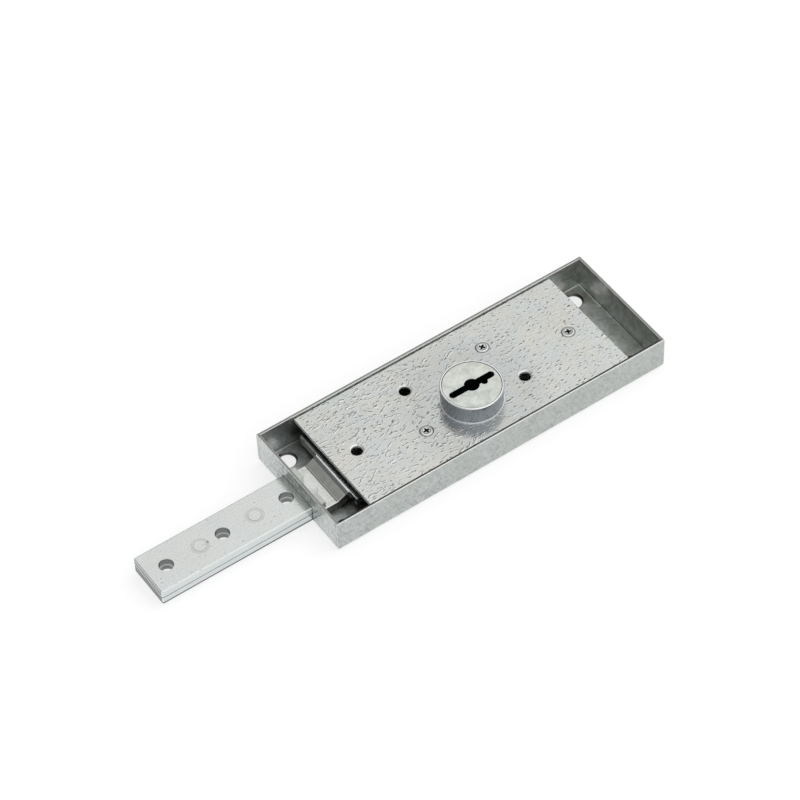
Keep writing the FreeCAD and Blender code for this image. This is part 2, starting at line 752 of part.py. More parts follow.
def make_bolt_carrier():
    """Lower layer of the bolt: bar, joggled ramp, wide head, rack and forked tail in one plate."""
    body = new_body("bolt_carrier")
    tail = tail_place[0] + dims.tail_end
    slot_end = tail_place[0] - throw - fork_half - dims.wide_gap
    tail_start = slot_end - dims.tail_wall
    tail_low = tail_place[1] - fork_half - dims.tail_wall
    tail_high = tail_place[1] + fork_half + dims.tail_wall
    slope = root(dims.ramp_run * dims.ramp_run + dims.ramp_rise * dims.ramp_rise)
    bend_shift = dims.bar_layer * (slope - dims.ramp_run) / dims.ramp_rise
    side = new_sketch(body, "side_profile", "XZ_Plane", ZERO)
    polygon(side, [
        (bar_tip, bar_bottom),
        (ramp_foot + bend_shift, bar_bottom),
        (ramp_head + bend_shift, plate_bottom),
        (tail, plate_bottom),
        (tail, plate_top),
        (ramp_head, plate_top),
        (ramp_foot, bar_joint),
        (bar_tip, bar_joint),
    ])
    pad(body, "joggled_strip", side, dims.case_width, symmetric=True)
    bends = (
        ("foot_inner_bend", ramp_foot, bar_joint, dims.foot_bend),
        ("foot_outer_bend", ramp_foot + bend_shift, bar_bottom, dims.foot_bend + dims.bar_layer),
        ("head_inner_bend", ramp_head + bend_shift, plate_bottom, dims.head_bend),
        ("head_outer_bend", ramp_head, plate_top, dims.head_bend + dims.bar_layer),
    )
    for name, along, height, radius in bends:
        dress(body, "Fillet", name, "Radius", radius, lambda edge: is_cross_edge(edge, along, height))
    bar_half = dims.bar_width / 2
    strip_half = dims.strip_width / 2
    head_end = ramp_head + dims.head_length
    trim = new_sketch(body, "plan_outline", "XY_Plane", plate_top + dims.face_gap)
    rectangle(trim, bar_tip - dims.bar_width, -dims.case_width, tail + dims.bar_width, dims.case_width)
    polygon(trim, [
        (bar_tip, -bar_half),
        (strip_face, -bar_half),
        (strip_face, -strip_half),
        (ramp_head, -strip_half),
        (ramp_head, -dims.head_front),
        (head_end, -dims.head_front),
        (head_end, rack_root),
        (tail_start, rack_root),
        (tail_start, tail_low),
        (tail, tail_low),
        (tail, tail_high),
        (tail_start, tail_high),
        (tail_start, dims.spine_back),
        (head_end, dims.spine_back),
        (head_end, dims.head_back),
        (ramp_head, dims.head_back),
        (ramp_head, strip_half),
        (strip_face, strip_half),
        (strip_face, bar_half),
        (bar_tip, bar_half),
    ])
    pocket(body, "plan_trim", trim, dims.case_height)
    dress(body, "Fillet", "tip_corners", "Radius", dims.bar_corner,
          lambda edge: is_upright(edge) and near(edge.BoundBox.XMin, bar_tip))
    fork = new_sketch(body, "fork_slot", "XY_Plane", plate_top)
    reach = tail + fork_half * 2
    long_hole(fork, (slot_end + fork_half, tail_place[1]), (reach, tail_place[1]), fork_half)
    pocket(body, "fork_slot_cut", fork, dims.bar_layer)
    bar_hole = dims.bar_hole_radius - dims.bar_hole_step
    holes = new_sketch(body, "carrier_holes", "XY_Plane", plate_top)
    for offset in (dims.bar_hole_first, dims.bar_hole_second, dims.bar_hole_third):
        circle(holes, bar_tip + offset, ZERO, bar_hole)
    for offset in (dims.rivet_first, dims.rivet_second):
        circle(holes, bar_tip + offset, ZERO, dims.rivet_radius + dims.running_gap)
    circle(holes, stud_x, ZERO, dims.stud_radius + dims.running_gap)
    circle(holes, stump_place[0], stump_place[1], dims.stump_foot_radius + dims.running_gap)
    pocket(body, "carrier_holes_cut", holes, dims.case_height)
    dress(body, "Chamfer", "hole_flares", "Size", dims.bar_hole_flare,
          lambda edge: is_level_at(edge, bar_bottom) and near(edge.BoundBox.XLength, bar_hole * 2))
    unit = dims.gear_module
    centre = tooth_pitch * dims.rack_lead
    tooth = new_sketch(body, "rack_tooth_outline", "XY_Plane", plate_bottom)
    polygon(tooth, [
        (centre - unit * dims.rack_root_share, rack_root + dims.tooth_sink),
        (centre - unit * dims.rack_root_share, rack_root),
        (centre - unit * dims.rack_tip_share, rack_tip),
        (centre + unit * dims.rack_tip_share, rack_tip),
        (centre + unit * dims.rack_root_share, rack_root),
        (centre + unit * dims.rack_root_share, rack_root + dims.tooth_sink),
    ])
    first = pad(body, "rack_tooth", tooth, dims.bar_layer)
    teeth = pattern(body, "LinearPattern", "rack_teeth", first,
                    {"Direction": (tooth, ["H_Axis"]), "Reversed": True}, dims.rack_teeth)
    bind(teeth, "Length", tooth_pitch * (dims.rack_teeth - 1))
    document.recompute()
    return body


def make_upper_bar():
    """Upper layer of the bolt bar, with a fork round the stud and stop shoulders inside the wall."""
    body = new_body("upper_bar")
    bar_half = dims.bar_width / 2
    prong_half = dims.prong_width / 2
    prong_end = stop_face + dims.prong_length
    outline = new_sketch(body, "bar_outline", "XY_Plane", bar_joint)
    polygon(outline, [
        (bar_tip, -bar_half),
        (stop_face, -bar_half),
        (stop_face, -prong_half),
        (prong_end, -prong_half),
        (prong_end, prong_half),
        (stop_face, prong_half),
        (stop_face, bar_half),
        (bar_tip, bar_half),
    ])
    pad(body, "bar", outline, dims.bar_layer)
    dress(body, "Fillet", "tip_corners", "Radius", dims.bar_corner,
          lambda edge: is_upright(edge) and near(edge.BoundBox.XMin, bar_tip))
    notch = new_sketch(body, "stud_notch", "XY_Plane", bar_top)
    circle(notch, stud_x, ZERO, dims.notch_radius)
    pocket(body, "stud_notch_cut", notch, dims.bar_layer)
    dishes = new_sketch(body, "rivet_dishes", "XY_Plane", bar_top)
    for offset in (dims.rivet_first, dims.rivet_second):
        circle(dishes, bar_tip + offset, ZERO, dims.rivet_dish_radius)
    pocket(body, "rivet_dishes_cut", dishes, dims.rivet_dish_depth)
    holes = new_sketch(body, "bar_holes", "XY_Plane", bar_top)
    for offset in (dims.bar_hole_first, dims.bar_hole_second, dims.bar_hole_third):
        circle(holes, bar_tip + offset, ZERO, dims.bar_hole_radius)
    for offset in (dims.rivet_first, dims.rivet_second):
        circle(holes, bar_tip + offset, ZERO, dims.rivet_radius + dims.running_gap)
    pocket(body, "bar_holes_cut", holes, dims.bar_layer)
    inner_half = dims.bar_width / 2 - dims.bar_corner
    dress(body, "Fillet", "top_edge", "Radius", dims.bar_edge,
          lambda edge: is_level_at(edge, bar_top) and near(abs(edge.BoundBox.YMax), bar_half)
          and near(abs(edge.BoundBox.YMin), bar_half) or
          is_level_at(edge, bar_top) and edge.BoundBox.XMin < bar_tip.number + 0.01
          and edge.BoundBox.YLength > inner_half.number)
    return body


def make_bar_rivets():
    """Two rivets that join the bar's layers, each with its head just proud of a shallow dish."""
    rivets = []
    for index, offset in enumerate((dims.rivet_first, dims.rivet_second), start=1):
        place = (bar_tip + offset, ZERO, bar_bottom)
        rivets.append(solid("Cylinder", "bar_rivet_" + str(index), place, Radius=dims.rivet_radius,
                            Height=dims.bar_layer * 2 + dims.rivet_rise))
    return group("bar_rivets", rivets)


def make_bar_stud():
    """Stud riveted through the lower layer and finished flush with it in the fork of the upper bar."""
    body = new_body("bar_stud", stud_x, ZERO)
    revolve(body, "stud", [
        (ZERO, bar_bottom),
        (dims.stud_radius, bar_bottom),
        (dims.stud_radius, bar_joint),
        (ZERO, bar_joint),
    ])
    return body


def make_bolt_stump():
    """Pin on the carrier that runs in the levers' gates."""
    body = new_body("bolt_stump", *stump_place)
    top = pack_top + dims.face_gap
    revolve(body, "stump", [
        (ZERO, plate_bottom),
        (dims.stump_foot_radius, plate_bottom),
        (dims.stump_foot_radius, plate_top),
        (dims.stump_radius, plate_top),
        (dims.stump_radius, top),
        (ZERO, top),
    ])
    return body


def make_lever(index):
    """Detainer lever: eye on the pivot, window round the key, and a gate for the stump."""
    number = str(index + 1)
    body = new_body("lever_" + number)
    base = lever_base + lever_step * index
    top = base + dims.lever_thickness
    reach_along = pivot_place[0]
    reach_across = pivot_place[1] - barrel_y
    reach = root(reach_along * reach_along + reach_across * reach_across)
    side_x = -reach_across / reach * dims.lever_arm_width / 2
    side_y = reach_along / reach * dims.lever_arm_width / 2
    left = stump_place[0] - dims.gate_pocket_radius - dims.gate_margin
    right = -dims.gate_bar_end
    low = stump_place[1] - dims.gate_pocket_radius - dims.gate_margin
    shapes = new_sketch(body, "ring_outline", "XY_Plane", base)
    circle(shapes, ZERO, barrel_y, dims.lever_ring_radius)
    pad(body, "ring", shapes, dims.lever_thickness)
    arm = new_sketch(body, "arm_outline", "XY_Plane", base)
    polygon(arm, [
        (side_x, barrel_y + side_y),
        (-side_x, barrel_y - side_y),
        (pivot_place[0] - side_x, pivot_place[1] - side_y),
        (pivot_place[0] + side_x, pivot_place[1] + side_y),
    ])
    pad(body, "arm", arm, dims.lever_thickness)
    eye = new_sketch(body, "eye_outline", "XY_Plane", base)
    circle(eye, pivot_place[0], pivot_place[1], dims.lever_eye_radius)
    pad(body, "eye", eye, dims.lever_thickness)
    bar = new_sketch(body, "gate_bar_outline", "XY_Plane", base)
    rectangle(bar, left, low, right, gate_back)
    pad(body, "gate_bar", bar, dims.lever_thickness)
    dress(body, "Fillet", "gate_bar_corners", "Radius", dims.gate_corner,
          lambda edge: is_upright(edge) and near(edge.BoundBox.XMin, left))
    window = new_sketch(body, "key_window", "XY_Plane", top)
    circle(window, ZERO, barrel_y, dims.lever_window_radius)
    pocket(body, "key_window_cut", window, dims.lever_thickness)
    belly_low = barrel_y + dims.belly_height + dims.belly_step * BITTING[index % len(BITTING)]
    belly = new_sketch(body, "belly_outline", "XY_Plane", base)
    rectangle(belly, -dims.belly_width / 2, belly_low, dims.belly_width / 2,
              barrel_y + dims.lever_window_radius + dims.wide_gap)
    pad(body, "belly", belly, dims.lever_thickness)
    hole = new_sketch(body, "pivot_hole", "XY_Plane", top)
    circle(hole, pivot_place[0], pivot_place[1], dims.pivot_radius + dims.running_gap)
    pocket(body, "pivot_hole_cut", hole, dims.lever_thickness)
    drawn = (stump_place[0] + throw, stump_place[1])
    gate_end = turned(drawn, pivot_place, dims.lever_lift_angle)
    gate = new_sketch(body, "gate", "XY_Plane", top)
    long_hole(gate, stump_place, gate_end, dims.stump_radius + dims.gate_clearance)
    pocket(body, "gate_cut", gate, dims.lever_thickness)
    for name, place in (("thrown", stump_place), ("drawn", gate_end)):
        end = new_sketch(body, name + "_pocket", "XY_Plane", top)
        circle(end, place[0], place[1], dims.gate_pocket_radius)
        pocket(body, name + "_pocket_cut", end, dims.lever_thickness)
    return body


def make_lever_shims():
    shims = []
    for index in range(LEVER_TOTAL - 1):
        height = lever_base + dims.lever_thickness + lever_step * index
        shims.append(ring("shim_" + str(index + 1), (pivot_place[0], pivot_place[1], height),
                          dims.shim_radius, dims.pivot_radius + dims.running_gap, dims.shim_thickness))
    return group("lever_shims", shims)


def spring_foot_end():
    """Where the blade's foot leaves the lever's back edge and bends back."""
    return (-dims.gate_bar_end - dims.spring_foot_inset, gate_back + dims.spring_thickness / 2)


def spring_blade_start():
    foot = spring_foot_end()
    bend = dims.spring_bend_radius
    return (foot[0] + bend * sine(dims.spring_angle), foot[1] + bend - bend * cosine(dims.spring_angle))


def spring_post_place():
    """The post stands against the blade's back, a small gap away."""
    start = spring_blade_start()
    offset = dims.spring_post_radius + dims.spring_thickness / 2 + dims.wide_gap
    across = dims.spring_angle - HALF_TURN / 2
    return (start[0] + dims.spring_post_reach * cosine(dims.spring_angle) + offset * cosine(across),
            start[1] + dims.spring_post_reach * sine(dims.spring_angle) + offset * sine(across))


def make_lever_springs():
    """One bent leaf spring for each lever, its foot along the lever's back edge."""
    foot = spring_foot_end()
    start = spring_blade_start()
    bend = dims.spring_bend_radius.number
    half_angle = math.radians(dims.spring_angle.number / 2)
    springs = []
    for index in range(LEVER_TOTAL):
        gap = (dims.lever_thickness - dims.spring_width) / 2
        height = (lever_base + lever_step * index + gap).number
        foot_start = vector(foot[0] - dims.spring_foot, foot[1], height)
        foot_end = vector(foot[0], foot[1], height)
        crown = vector(foot[0] + bend * math.sin(half_angle),
                       foot[1] + bend - bend * math.cos(half_angle), height)
        blade_start = vector(start[0], start[1], height)
        blade_end = vector(start[0] + dims.spring_blade * cosine(dims.spring_angle),
                           start[1] + dims.spring_blade * sine(dims.spring_angle), height)
        path = Part.Wire([
            Part.LineSegment(foot_start, foot_end).toShape(),
            Part.Arc(foot_end, crown, blade_start).toShape(),
            Part.LineSegment(blade_start, blade_end).toShape(),
        ])
        strip = path.makeOffset2D(dims.spring_thickness.number / 2, 0, True, False, False)
        springs.append(Part.Face(strip).extrude(FreeCAD.Vector(0, 0, dims.spring_width.number)))
    feature = document.addObject("Part::Feature", "lever_springs")
    feature.Label = "lever_springs"
    feature.Shape = Part.makeCompound(springs)
    return feature


def make_all():
    tail_foot = plate_bottom - dims.face_gap
    pivot_shoulder = lever_base - dims.running_gap
    pieces = [
        make_case_tray(),
        make_cover_plate(),
        make_cover_screws(),
        make_barrel_sleeve(),
        make_rotor_drum(),
        make_guard_pins(),
        make_rotor_spindle(),
        make_floor_bush(),
        make_pillar("lever_pivot", pivot_place, dims.pillar_shoulder_radius, pivot_shoulder,
                    dims.pivot_radius),
        make_pillar("distance_pillar", spacer_place, dims.pillar_shoulder_radius,
                    dims.case_wall + dims.spacer_foot, dims.pillar_radius),
        make_pillar("tail_pillar", tail_place, bush_outer + dims.tail_foot_margin, tail_foot,
                    dims.pillar_radius),
        make_spring_post(),
        make_bolt_carrier(),
        make_upper_bar(),
        make_bar_rivets(),
        make_bar_stud(),
        make_bolt_stump(),
        make_lever_shims(),
        make_lever_springs(),
    ]
    pieces.extend(make_lever(index) for index in range(LEVER_TOTAL))
    collar_bottom = pack_top + dims.face_gap
    collar = ring("pivot_collar", (pivot_place[0], pivot_place[1], collar_bottom), dims.collar_radius,
                  dims.pivot_radius + dims.running_gap, cover_bottom - collar_bottom)
    bush = ring("tail_bush", (tail_place[0], tail_place[1], tail_foot), bush_outer,
                dims.pillar_radius + dims.running_gap, plate_top - tail_foot + dims.face_gap)
    pieces.extend([collar, bush])
    return pieces


pieces = make_all()
document.recompute()
for item in document.Objects:
    if "Invalid" in item.State or "Error" in item.State:
        raise RuntimeError(item.Name + " failed to build")
os.makedirs("parts", exist_ok=True)
for piece in pieces:
    shape = piece.Shape
    if shape.isNull() or not shape.isValid():
        raise RuntimeError(piece.Label + " is not a sound shape")
    shape.exportStep("parts/" + piece.Label + ".step")
    print(piece.Label, "volume", round(shape.Volume, 1), "solids", len(shape.Solids))
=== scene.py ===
import json
import math

import bmesh
import bpy
from mathutils import Matrix, Vector


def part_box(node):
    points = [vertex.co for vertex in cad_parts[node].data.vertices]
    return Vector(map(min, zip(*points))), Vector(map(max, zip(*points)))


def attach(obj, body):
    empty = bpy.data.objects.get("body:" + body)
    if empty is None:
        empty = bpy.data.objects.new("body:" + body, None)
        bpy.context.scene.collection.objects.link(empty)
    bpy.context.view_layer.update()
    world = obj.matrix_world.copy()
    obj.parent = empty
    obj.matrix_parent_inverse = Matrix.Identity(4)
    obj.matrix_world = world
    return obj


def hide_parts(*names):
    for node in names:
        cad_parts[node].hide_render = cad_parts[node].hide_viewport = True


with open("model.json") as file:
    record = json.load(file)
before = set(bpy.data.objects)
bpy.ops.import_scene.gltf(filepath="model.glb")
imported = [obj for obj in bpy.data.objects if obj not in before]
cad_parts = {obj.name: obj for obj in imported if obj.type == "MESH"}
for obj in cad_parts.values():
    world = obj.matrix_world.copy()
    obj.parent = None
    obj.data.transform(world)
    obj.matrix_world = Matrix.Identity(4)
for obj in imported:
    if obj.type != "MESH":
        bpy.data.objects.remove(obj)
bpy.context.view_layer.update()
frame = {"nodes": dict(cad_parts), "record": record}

# Roller-shutter lock, left-hand one of a handed pair, bolt thrown. All sizes are in metres.
nodes = frame["nodes"]
scene = bpy.context.scene
MM = 0.001

# The case, its rim and its corner seams
CASE_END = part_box("case_tray")[1].x
CASE_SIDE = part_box("case_tray")[1].y
RIM_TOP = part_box("case_tray")[1].z
WALL = 1.2 * MM
INNER_END = CASE_END - WALL
INNER_SIDE = CASE_SIDE - WALL
FIXING_HOLES = tuple((x * MM, y * MM) for x in (-69.0, 69.0) for y in (-20.3, 20.3))
FIXING_SINK = (3.30 * MM, 4.10 * MM)
RIM_ROUND = 0.30 * MM
SEAM_X, SEAM_Y = CASE_END - 0.45 * MM, INNER_SIDE - 0.11 * MM
SEAM_REACH, SEAM_HALF, SEAM_FOOT = 0.9 * MM, 0.07 * MM, 2.2 * MM
MOUTH_HALF, MOUTH_FOOT = 0.15 * MM, 2.1 * MM

# The cover, its screws and the barrel
COVER_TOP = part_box("cover_plate")[1].z
COVER_HOLES_X, COVER_HOLES_Y = 61.0 * MM, 25.5 * MM
SCREW_PLACES = ((18.5 * MM, 12.5 * MM), (-23.4 * MM, -9.1 * MM), (50.3 * MM, -1.0 * MM))
SCREW_TURNS = (38.0, 4.0, -22.0)
SCREW_PROFILE = ((0.0, 0.21), (0.8, 0.22), (1.58, 0.22), (1.66, 0.26), (1.84, 0.29), (2.05, 0.27),
                 (2.45, 0.18), (2.68, 0.03), (2.72, -0.12), (2.66, -0.22), (1.42, -1.35),
                 (1.42, -6.80), (0.0, -6.80))
CROSS_RADIUS = 1.6 * MM
HEAD_GROOVE, HEAD_SKIRT = (1.62 * MM, 1.80 * MM), (2.30 * MM, 2.50 * MM)
BARREL = (0.0, -6.5 * MM)
# Radii of the ring of painted dark reflection round the barrel.
SLEEVE_REFLECTION_RADII = (14.0 * MM, 22.0 * MM)
DRUM_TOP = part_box("rotor_drum")[1].z
SLEEVE_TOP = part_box("barrel_sleeve")[1].z

# The bolt: two layers outside the case, then a ramped strip and a wide head in the open bay.
# Pairs of sizes are a mask's two ends: radii round an upright axis, heights, or places along.
BAR_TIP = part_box("upper_bar")[0].x
BAR_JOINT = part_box("upper_bar")[0].z
BAR_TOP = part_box("upper_bar")[1].z
BAR_SIDE = 10.0 * MM
BAR_ROOT = -76.5 * MM
BAR_HOLES = ((-136.7 * MM, 0.0), (-111.5 * MM, 0.0), (-82.5 * MM, 0.0))
BAR_BORE = 3.0 * MM
BAR_RIVETS = ((-121.6 * MM, 0.0), (-96.9 * MM, 0.0))
RIVET_DISH = (2.55 * MM, 3.55 * MM)
UPPER_TEAR, LOWER_TEAR = (6.30 * MM, 7.50 * MM), (1.30 * MM, 4.60 * MM)
UPPER_BORE, LOWER_BORE = (5.30 * MM, 8.20 * MM), (2.60 * MM, 4.55 * MM)
BAR_FOOT = (2.40 * MM, 2.10 * MM)
BAR_MARGIN = 0.85 * MM
BAY = (-75.2 * MM, -62.8 * MM)
# Where the painted shade inside the case begins and where it is full
BAY_SHADE_SPAN = (-58.0 * MM, -64.0 * MM)
RAMP_CREASE = (-66.70 * MM, -66.35 * MM)
STRIP_SIDE = -11.0 * MM
HEAD_START, HEAD_END = -62.7 * MM, -53.0 * MM
HEAD_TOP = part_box("bolt_carrier")[1].z

# Light
FLOOR_GLOW = 0.64
ROOM_BRIGHT = (0.35, -0.45, 0.82)


# Node helpers

def add(tree, kind, settings=None, **links):
    """A shader node with its properties set and its sockets linked or given a value.

    A socket goes by its name, with _ for each space, or by i and its number.
    """
    item = tree.nodes.new("ShaderNode" + kind)
    for name, value in (settings or {}).items():
        setattr(item, name, value)
    for name, value in links.items():
        by_number = name[1:].isdigit()
        socket = item.inputs[int(name[1:]) if by_number else name.replace("_", " ")]
        if isinstance(value, bpy.types.NodeSocket):
            tree.links.new(value, socket)
        else:
            socket.default_value = value
    return item


def calculate(tree, operation, first, second=0.0, third=0.0, clamp=False):
    settings = {"operation": operation, "use_clamp": clamp}
    return add(tree, "Math", settings, i0=first, i1=second, i2=third).outputs[0]


def times(tree, first, second):
    """Where both masks hold, or a mask in part."""
    return calculate(tree, "MULTIPLY", first, second)


def either(tree, first, second):
    """The stronger of two masks."""
    return calculate(tree, "MAXIMUM", first, second)


def absolute(tree, value):
    """A value without its sign, so that one mask serves both ends or both sides."""
    return calculate(tree, "ABSOLUTE", value)


def vector_math(tree, operation, first, second=(0.0, 0.0, 0.0)):
    return add(tree, "VectorMath", {"operation": operation}, i0=first, i1=second).outputs[0]


def scaled(tree, vector, scale):
    """A vector made longer or shorter."""
    return add(tree, "VectorMath", {"operation": "SCALE"}, i0=vector, Scale=scale).outputs[0]


def vector_value(tree, operation, first, second=(0.0, 0.0, 0.0)):
    """A vector operation that gives one number."""
    item = add(tree, "VectorMath", {"operation": operation}, i0=first, i1=second)
    return item.outputs["Value"]


def noise(tree, place, scale, **settings):
    """The outputs of a noise whose scale is in cells per metre."""
    return add(tree, "TexNoise", None, Vector=place, Scale=scale, **settings).outputs


def remap(tree, value, low, high, new_low=0.0, new_high=1.0, kind="LINEAR"):
    """A value stretched from one range to another, and held at its ends."""
    return add(tree, "MapRange", {"interpolation_type": kind}, Value=value, From_Min=low,
               From_Max=high, To_Min=new_low, To_Max=new_high).outputs[0]


def band(tree, value, low, high, soft):
    """A mask that is 1 between two values and fades out over a soft edge."""
    return times(tree, remap(tree, value, low - soft, low), remap(tree, value, high + soft, high))


def blend(tree, factor, first, second):
    """A colour between two, by a mask."""
    return add(tree, "Mix", {"data_type": "RGBA"}, i0=factor, i6=first, i7=second).outputs[2]


def paint(tree, ground, coats):
    """Colours laid one over another: each coat has a mask, the mask's share and a colour."""
    for mask, share, colour in coats:
        if share < 1.0:
            mask = times(tree, mask, share)
        ground = blend(tree, mask, ground, colour)
    return ground


def place_group(tree, group, **values):
    """The outputs of a shared effect with its inputs linked or set."""
    return add(tree, "Group", {"node_tree": group}, **values).outputs


def new_group(name, sockets_in, sockets_out):
    """A node group of masks and heights, with its inner input and output sockets."""
    tree = bpy.data.node_groups.new(name, "ShaderNodeTree")
    for label, kind, value in [("Vector", "Vector", None)] + sockets_in:
        socket = tree.interface.new_socket(name=label, in_out="INPUT",
                                           socket_type="NodeSocket" + kind)
        if value is not None:
            socket.default_value = value
    for label in sockets_out:
        tree.interface.new_socket(name=label, in_out="OUTPUT", socket_type="NodeSocketFloat")
    return tree, tree.nodes.new("NodeGroupInput").outputs, tree.nodes.new("NodeGroupOutput").inputs


def rgb(red, green, blue):
    """A linear colour, opaque."""
    return (red, green, blue, 1.0)


def grey(level, warmth=0.0):
    """A near-neutral colour: warmth over 0 leans to cream, under 0 to blue."""
    return rgb(level * (1 + warmth), level, level * (1 - 1.4 * warmth))


# Effects that more than one finish uses

def make_spangle():
    """Zinc bloom: soft patches of lighter and darker crystals."""
    tree, given, result = new_group(
        "zinc_spangle", [("Patch Scale", "Float", 300.0)], ["Tone", "Height"])
    warp = noise(tree, given["Vector"], 260.0, Detail=2.0)["Color"]
    place = vector_math(tree, "ADD", given["Vector"], scaled(tree, warp, 4.0 * MM))
    cells = add(tree, "TexVoronoi", None, Vector=place, Scale=given["Patch Scale"])
    cell_tone = add(tree, "SeparateColor", None, i0=cells.outputs["Color"]).outputs[0]
    broad = noise(tree, place, 110.0, Detail=4.0, Roughness=0.62)[0]
    broad_tone = times(tree, remap(tree, broad, 0.3, 0.7), 0.7)
    tone = calculate(tree, "MULTIPLY_ADD", cell_tone, 0.3, broad_tone)
    tree.links.new(tone, result["Tone"])
    tree.links.new(broad, result["Height"])
    return tree


def make_rolling_marks():
    """Fine drawn lines left by the rolls, and the scratches among them."""
    tree, given, result = new_group(
        "rolling_marks",
        [("Line Scale", "Float", 900.0), ("Stretch", "Vector", (0.06, 1.0, 1.0))],
        ["Lines", "Scratches"])
    place = vector_math(tree, "MULTIPLY", given["Vector"], given["Stretch"])
    lines = noise(tree, place, given["Line Scale"], Detail=5.0, Roughness=0.7)[0]
    wide = vector_math(tree, "MULTIPLY", place, (0.35, 0.35, 0.35))
    marks = noise(tree, wide, given["Line Scale"], Detail=3.0, Roughness=0.5)[0]
    tree.links.new(lines, result["Lines"])
    tree.links.new(remap(tree, marks, 0.60, 0.68), result["Scratches"])
    return tree


def make_handling():
    """Broad, faint smudges from handling, small dark specks and a broad tint."""
    tree, given, result = new_group("handling_marks", [], ["Smudge", "Specks", "Tint"])
    place = given["Vector"]
    broad = noise(tree, place, 70.0, Detail=5.0, Roughness=0.65, Distortion=0.6)[0]
    small = noise(tree, place, 900.0, Detail=3.0)[0]
    tint = noise(tree, place, 38.0, Detail=3.0, Distortion=0.4)[0]
    tree.links.new(remap(tree, broad, 0.38, 0.70), result["Smudge"])
    tree.links.new(remap(tree, small, 0.66, 0.74), result["Specks"])
    tree.links.new(remap(tree, tint, 0.35, 0.65), result["Tint"])
    return tree


def make_turned_rings():
    """Fine circles about the Z axis, as a lathe leaves them."""
    tree, given, result = new_group("turned_rings", [("Pitch", "Float", 0.12 * MM)], ["Rings"])
    parts = add(tree, "SeparateXYZ", None, i0=given["Vector"]).outputs
    flat = add(tree, "CombineXYZ", None, i0=parts[0], i1=parts[1]).outputs[0]
    turns = calculate(tree, "DIVIDE", vector_value(tree, "LENGTH", flat), given["Pitch"])
    lines = add(tree, "TexNoise", {"noise_dimensions": "1D"}, W=turns, Scale=0.7, Detail=3.0,
                Roughness=0.7)
    tree.links.new(lines.outputs[0], result["Rings"])
    return tree


def make_stain():
    """Stain: clouded blots with soft, pulled edges."""
    tree, given, result = new_group("clouded_stain", [("Blot Scale", "Float", 240.0)], ["Blots"])
    blots = noise(tree, given["Vector"], given["Blot Scale"], Detail=4.0, Distortion=0.7)[0]
    tree.links.new(blots, result["Blots"])
    return tree


def make_grain():
    """Fine grain of a plated face: its height, and a mask of the small pits that hold dirt."""
    tree, given, result = new_group(
        "plated_grain", [("Grain Scale", "Float", 1300.0)], ["Height", "Pits"])
    grain = noise(tree, given["Vector"], given["Grain Scale"], Detail=2.0)[0]
    tree.links.new(grain, result["Height"])
    tree.links.new(remap(tree, grain, 0.60, 0.36), result["Pits"])
    return tree


SPANGLE = make_spangle()
ROLLING = make_rolling_marks()
HANDLING = make_handling()
TURNED = make_turned_rings()
STAIN = make_stain()
GRAIN = make_grain()


# Finishes

class Finish:
    """A metal material: its node tree, its object coordinates and its shader."""

    def __init__(self, name):
        self.material = bpy.data.materials.new(name)
        self.material.use_nodes = True
        self.tree = self.material.node_tree
        self.tree.nodes.clear()
        self.shader = add(self.tree, "BsdfPrincipled", None, Metallic=1.0)
        add(self.tree, "OutputMaterial", None, i0=self.shader.outputs[0])
        self.place = add(self.tree, "TexCoord").outputs["Object"]

    def axes(self):
        """The three object coordinates: along the lock, across it and up."""
        return add(self.tree, "SeparateXYZ", None, i0=self.place).outputs

    def centred(self, x, y):
        """Object coordinates with an upright axis moved to their origin."""
        return add(self.tree, "Mapping", None, Vector=self.place, Location=(-x, -y, 0.0)).outputs[0]

    def group(self, group, **values):
        """A shared effect at this material's object coordinates, or at a given Vector."""
        return place_group(self.tree, group, **{"Vector": self.place, **values})

    def nearest(self, places):
        """Distance in plan to the nearest of some upright axes."""
        flat = vector_math(self.tree, "MULTIPLY", self.place, (1.0, 1.0, 0.0))
        shortest = None
        for x, y in places:
            reach = vector_value(self.tree, "DISTANCE", flat, (x, y, 0.0))
            if shortest is not None:
                reach = calculate(self.tree, "MINIMUM", shortest, reach)
            shortest = reach
        return shortest

    def colour(self, value):
        self.tree.links.new(value, self.shader.inputs["Base Color"])

    def roughness(self, value):
        self.tree.links.new(value, self.shader.inputs["Roughness"])

    def bumps(self, *layers):
        """Bump nodes one on another, each with a height, a depth in metres and a strength."""
        normal = None
        for height, depth, strength in layers:
            item = add(self.tree, "Bump", None, Height=height, Distance=depth, Strength=strength)
            if normal is not None:
                self.tree.links.new(normal, item.inputs["Normal"])
            normal = item.outputs[0]
        self.tree.links.new(normal, self.shader.inputs["Normal"])


def case_sheet(finish, drawn, spangle, mottle):
    """The case's zinc away from its edges: bloom, slanted streaks, mottle and handling."""
    tree = finish.tree
    smudges = finish.group(HANDLING)
    zinc = blend(tree, spangle["Tone"], rgb(0.290, 0.306, 0.302), rgb(0.505, 0.530, 0.518))
    return paint(tree, zinc, [
        (remap(tree, drawn["Lines"], 0.38, 0.62), 0.60, rgb(0.66, 0.695, 0.685)),
        (remap(tree, mottle, 0.40, 0.64, 0.0, 0.58), 1.0, rgb(0.71, 0.745, 0.735)),
        (smudges["Tint"], 0.45, rgb(0.49, 0.52, 0.475)),
        (smudges["Specks"], 0.55, rgb(0.20, 0.18, 0.14)),
    ])


